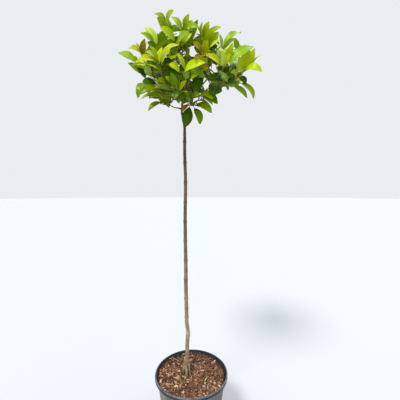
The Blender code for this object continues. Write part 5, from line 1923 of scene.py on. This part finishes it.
def leafFinish(name, colour, under=False):
    # waxy above with a little mottle, matt and paler below
    finish = Finish(name, Roughness=0.60 if under else 0.36, Specular_IOR_Level=0.12 if under else 0.20)
    finish.set(Specular_Tint=(0.86, 1.0, 0.25))
    if not under:
        finish.set(Coat_Weight=0.02, Coat_Roughness=0.20)
    mottle = finish.grain(85.0, 4.0, 0.6)
    finish.colour(finish.tinted(mottle, colour, 0.88, 1.10, (0.30, 0.50, 0.72)))
    pores = finish.plus(finish.grain(420.0, 3.0, 0.6), finish.times(finish.cells(700.0), 0.5))
    finish.bump(pores, 0.0004, 0.35)
    return finish.material


def leafHalf(t, peak):
    # half width along the blade: drawn out at the foot, fullest past the middle, pointed at the tip
    return math.sin(math.pi * min(t, 1.0) ** peak) ** blade["fullness"]


def fineLeaf(pose, chance):
    side = pose["along"].cross(pose["upper"]).normalized()
    length, width = pose["length"], pose["width"]
    peak = chance.uniform(*blade["peak"])
    twist = chance.uniform(-1.0, 1.0) * blade["twist"]
    fold = blade["fold"] * chance.uniform(*blade["foldSpread"])
    phase = chance.uniform(0.0, blade["fullWave"])
    waves = chance.uniform(*blade["waves"])
    rolled = chance.uniform(*blade["rolled"])
    tipBend = chance.uniform(*blade["tipBend"])
    veinFrom, veinTo = blade["veinPart"]
    top = []
    low = []
    points = []
    last = len(blade["columns"]) - 1
    for row, t in enumerate(blade["rows"]):
        centre, normal = leafSpine(pose, blade["stalk"] + (1.0 - blade["stalk"]) * t)
        turned = Matrix.Rotation(twist * (t - blade["twistFrom"]), 3, pose["along"])
        across, out = turned @ side, turned @ normal
        half = max(leafHalf(t, peak) * width / 2, blade["narrowest"])
        pressed = blade["vein"] * width * (1.0 if row % 2 else -1.0)
        upRow = []
        lowRow = []
        for column, u in enumerate(blade["columns"]):
            outer = abs(u)
            along = waves * blade["fullWave"] * t + phase + (1.0 if u > 0 else 0.0)
            rise = fold * outer * half - rolled * half * outer**4
            rise += blade["wave"] * half * outer * math.sin(along)
            if veinFrom < outer < veinTo:
                rise += pressed
            rise -= tipBend * length * max(t - blade["bendFrom"], 0.0) ** 2
            spot = centre + across * (u * half) + out * rise
            upRow.append(len(points))
            if column in (0, last):
                # the edge is a single line of points
                lowRow.append(len(points))
                points.append(spot)
                continue
            points.append(spot + out * blade["thick"] / 2)
            lowRow.append(len(points))
            sag = blade["ridge"] * (1.0 - 0.6 * t) if outer < veinFrom else 0.0
            points.append(spot - out * (blade["thick"] / 2 + sag))
        top.append(upRow)
        low.append(lowRow)
    tip = len(points)
    points.append(leafSpine(pose, 1.0)[0])
    faces = []
    kinds = []  # 0 above, 1 below, 2 along the midrib
    for a, b in zip(top, top[1:]):
        faces += [(a[k], a[k + 1], b[k + 1], b[k]) for k in range(last)]
        kinds += [2 if k == last // 2 else 0 for k in range(last)]
    for a, b in zip(low, low[1:]):
        faces += [(a[k + 1], a[k], b[k], b[k + 1]) for k in range(last)]
        kinds += [1] * last
    for k in range(last):
        faces += [(top[-1][k], top[-1][k + 1], tip), (low[-1][k + 1], low[-1][k], tip)]
        kinds += [0, 1]
    faces.append((*reversed(top[0]), *low[0][1:-1]))
    kinds.append(1)
    return points, faces, kinds


def toneOf(item, chance):
    if "tone" in item:
        return item["tone"]
    palette = palettes[sprays[item["mass"]][item["twig"]]]
    pair = item["pair"] + (2 if item["sprig"] else 0)
    return chance.choice(palette[min(pair, len(palette) - 1)].split())


def stalkMesh(pose):
    path = [leafSpine(pose, blade["stalk"] * share)[0] for share in blade["stalkShares"]]
    foot = pose.get("carrier", path[0])
    if (foot - path[0]).length > 0.001:
        lead = [foot.lerp(path[0], share) - skyUp * sag for share, sag in blade["leadSag"]]
        return limbMesh([foot, *lead, *path], blade["leadRadii"], 6, capPush=0.0002)
    return limbMesh(path, blade["stalkRadii"], 6, capPush=0.0002)


def isBack(mass):
    return mass.startswith("back") or mass == "top_back"


def makeLeaves():
    front, back, stalks = MeshPile(), MeshPile(), MeshPile()
    for number, item in enumerate(leaves):
        chance = random.Random(blade["seed"] + number * blade["seedStep"])
        tone = list(tones).index(toneOf(item, chance))
        points, faces, kinds = fineLeaf(item, chance)
        pile = back if isBack(item["mass"]) else front
        pile.add(points, faces, [tone * 3 + kind for kind in kinds])
        young = item["pair"] <= 1 and not item["sprig"]
        stalks.add(*stalkMesh(item), 0 if young else 1)
    finishes = []
    for name, (upper, lower, rib) in tones.items():
        finishes.append(leafFinish(f"{name}Blade", upper))
        finishes.append(leafFinish(f"{name}Underside", lower, under=True))
        finishes.append(leafFinish(f"{name}Midrib", rib))
    return (
        front.piece("leavesFront", finishes, sharpAngle=75),
        back.piece("leavesBack", finishes, sharpAngle=75),
        stalks.piece("leafStalks", [twigFinish(*tone) for tone in blade["stalkTones"]], sharpAngle=70),
    )


leavesFront, leavesBack, leafStalks = makeLeaves()
for piece in (leavesFront, leavesBack, leafStalks):
    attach(piece, "root")
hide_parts(*[f"foliage_{name}" for name in masses if not isBack(name)])
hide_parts(*[f"foliage_{name}" for name in masses if isBack(name)])
print("leaves made:", len(leavesFront.data.polygons) + len(leavesBack.data.polygons), "faces")
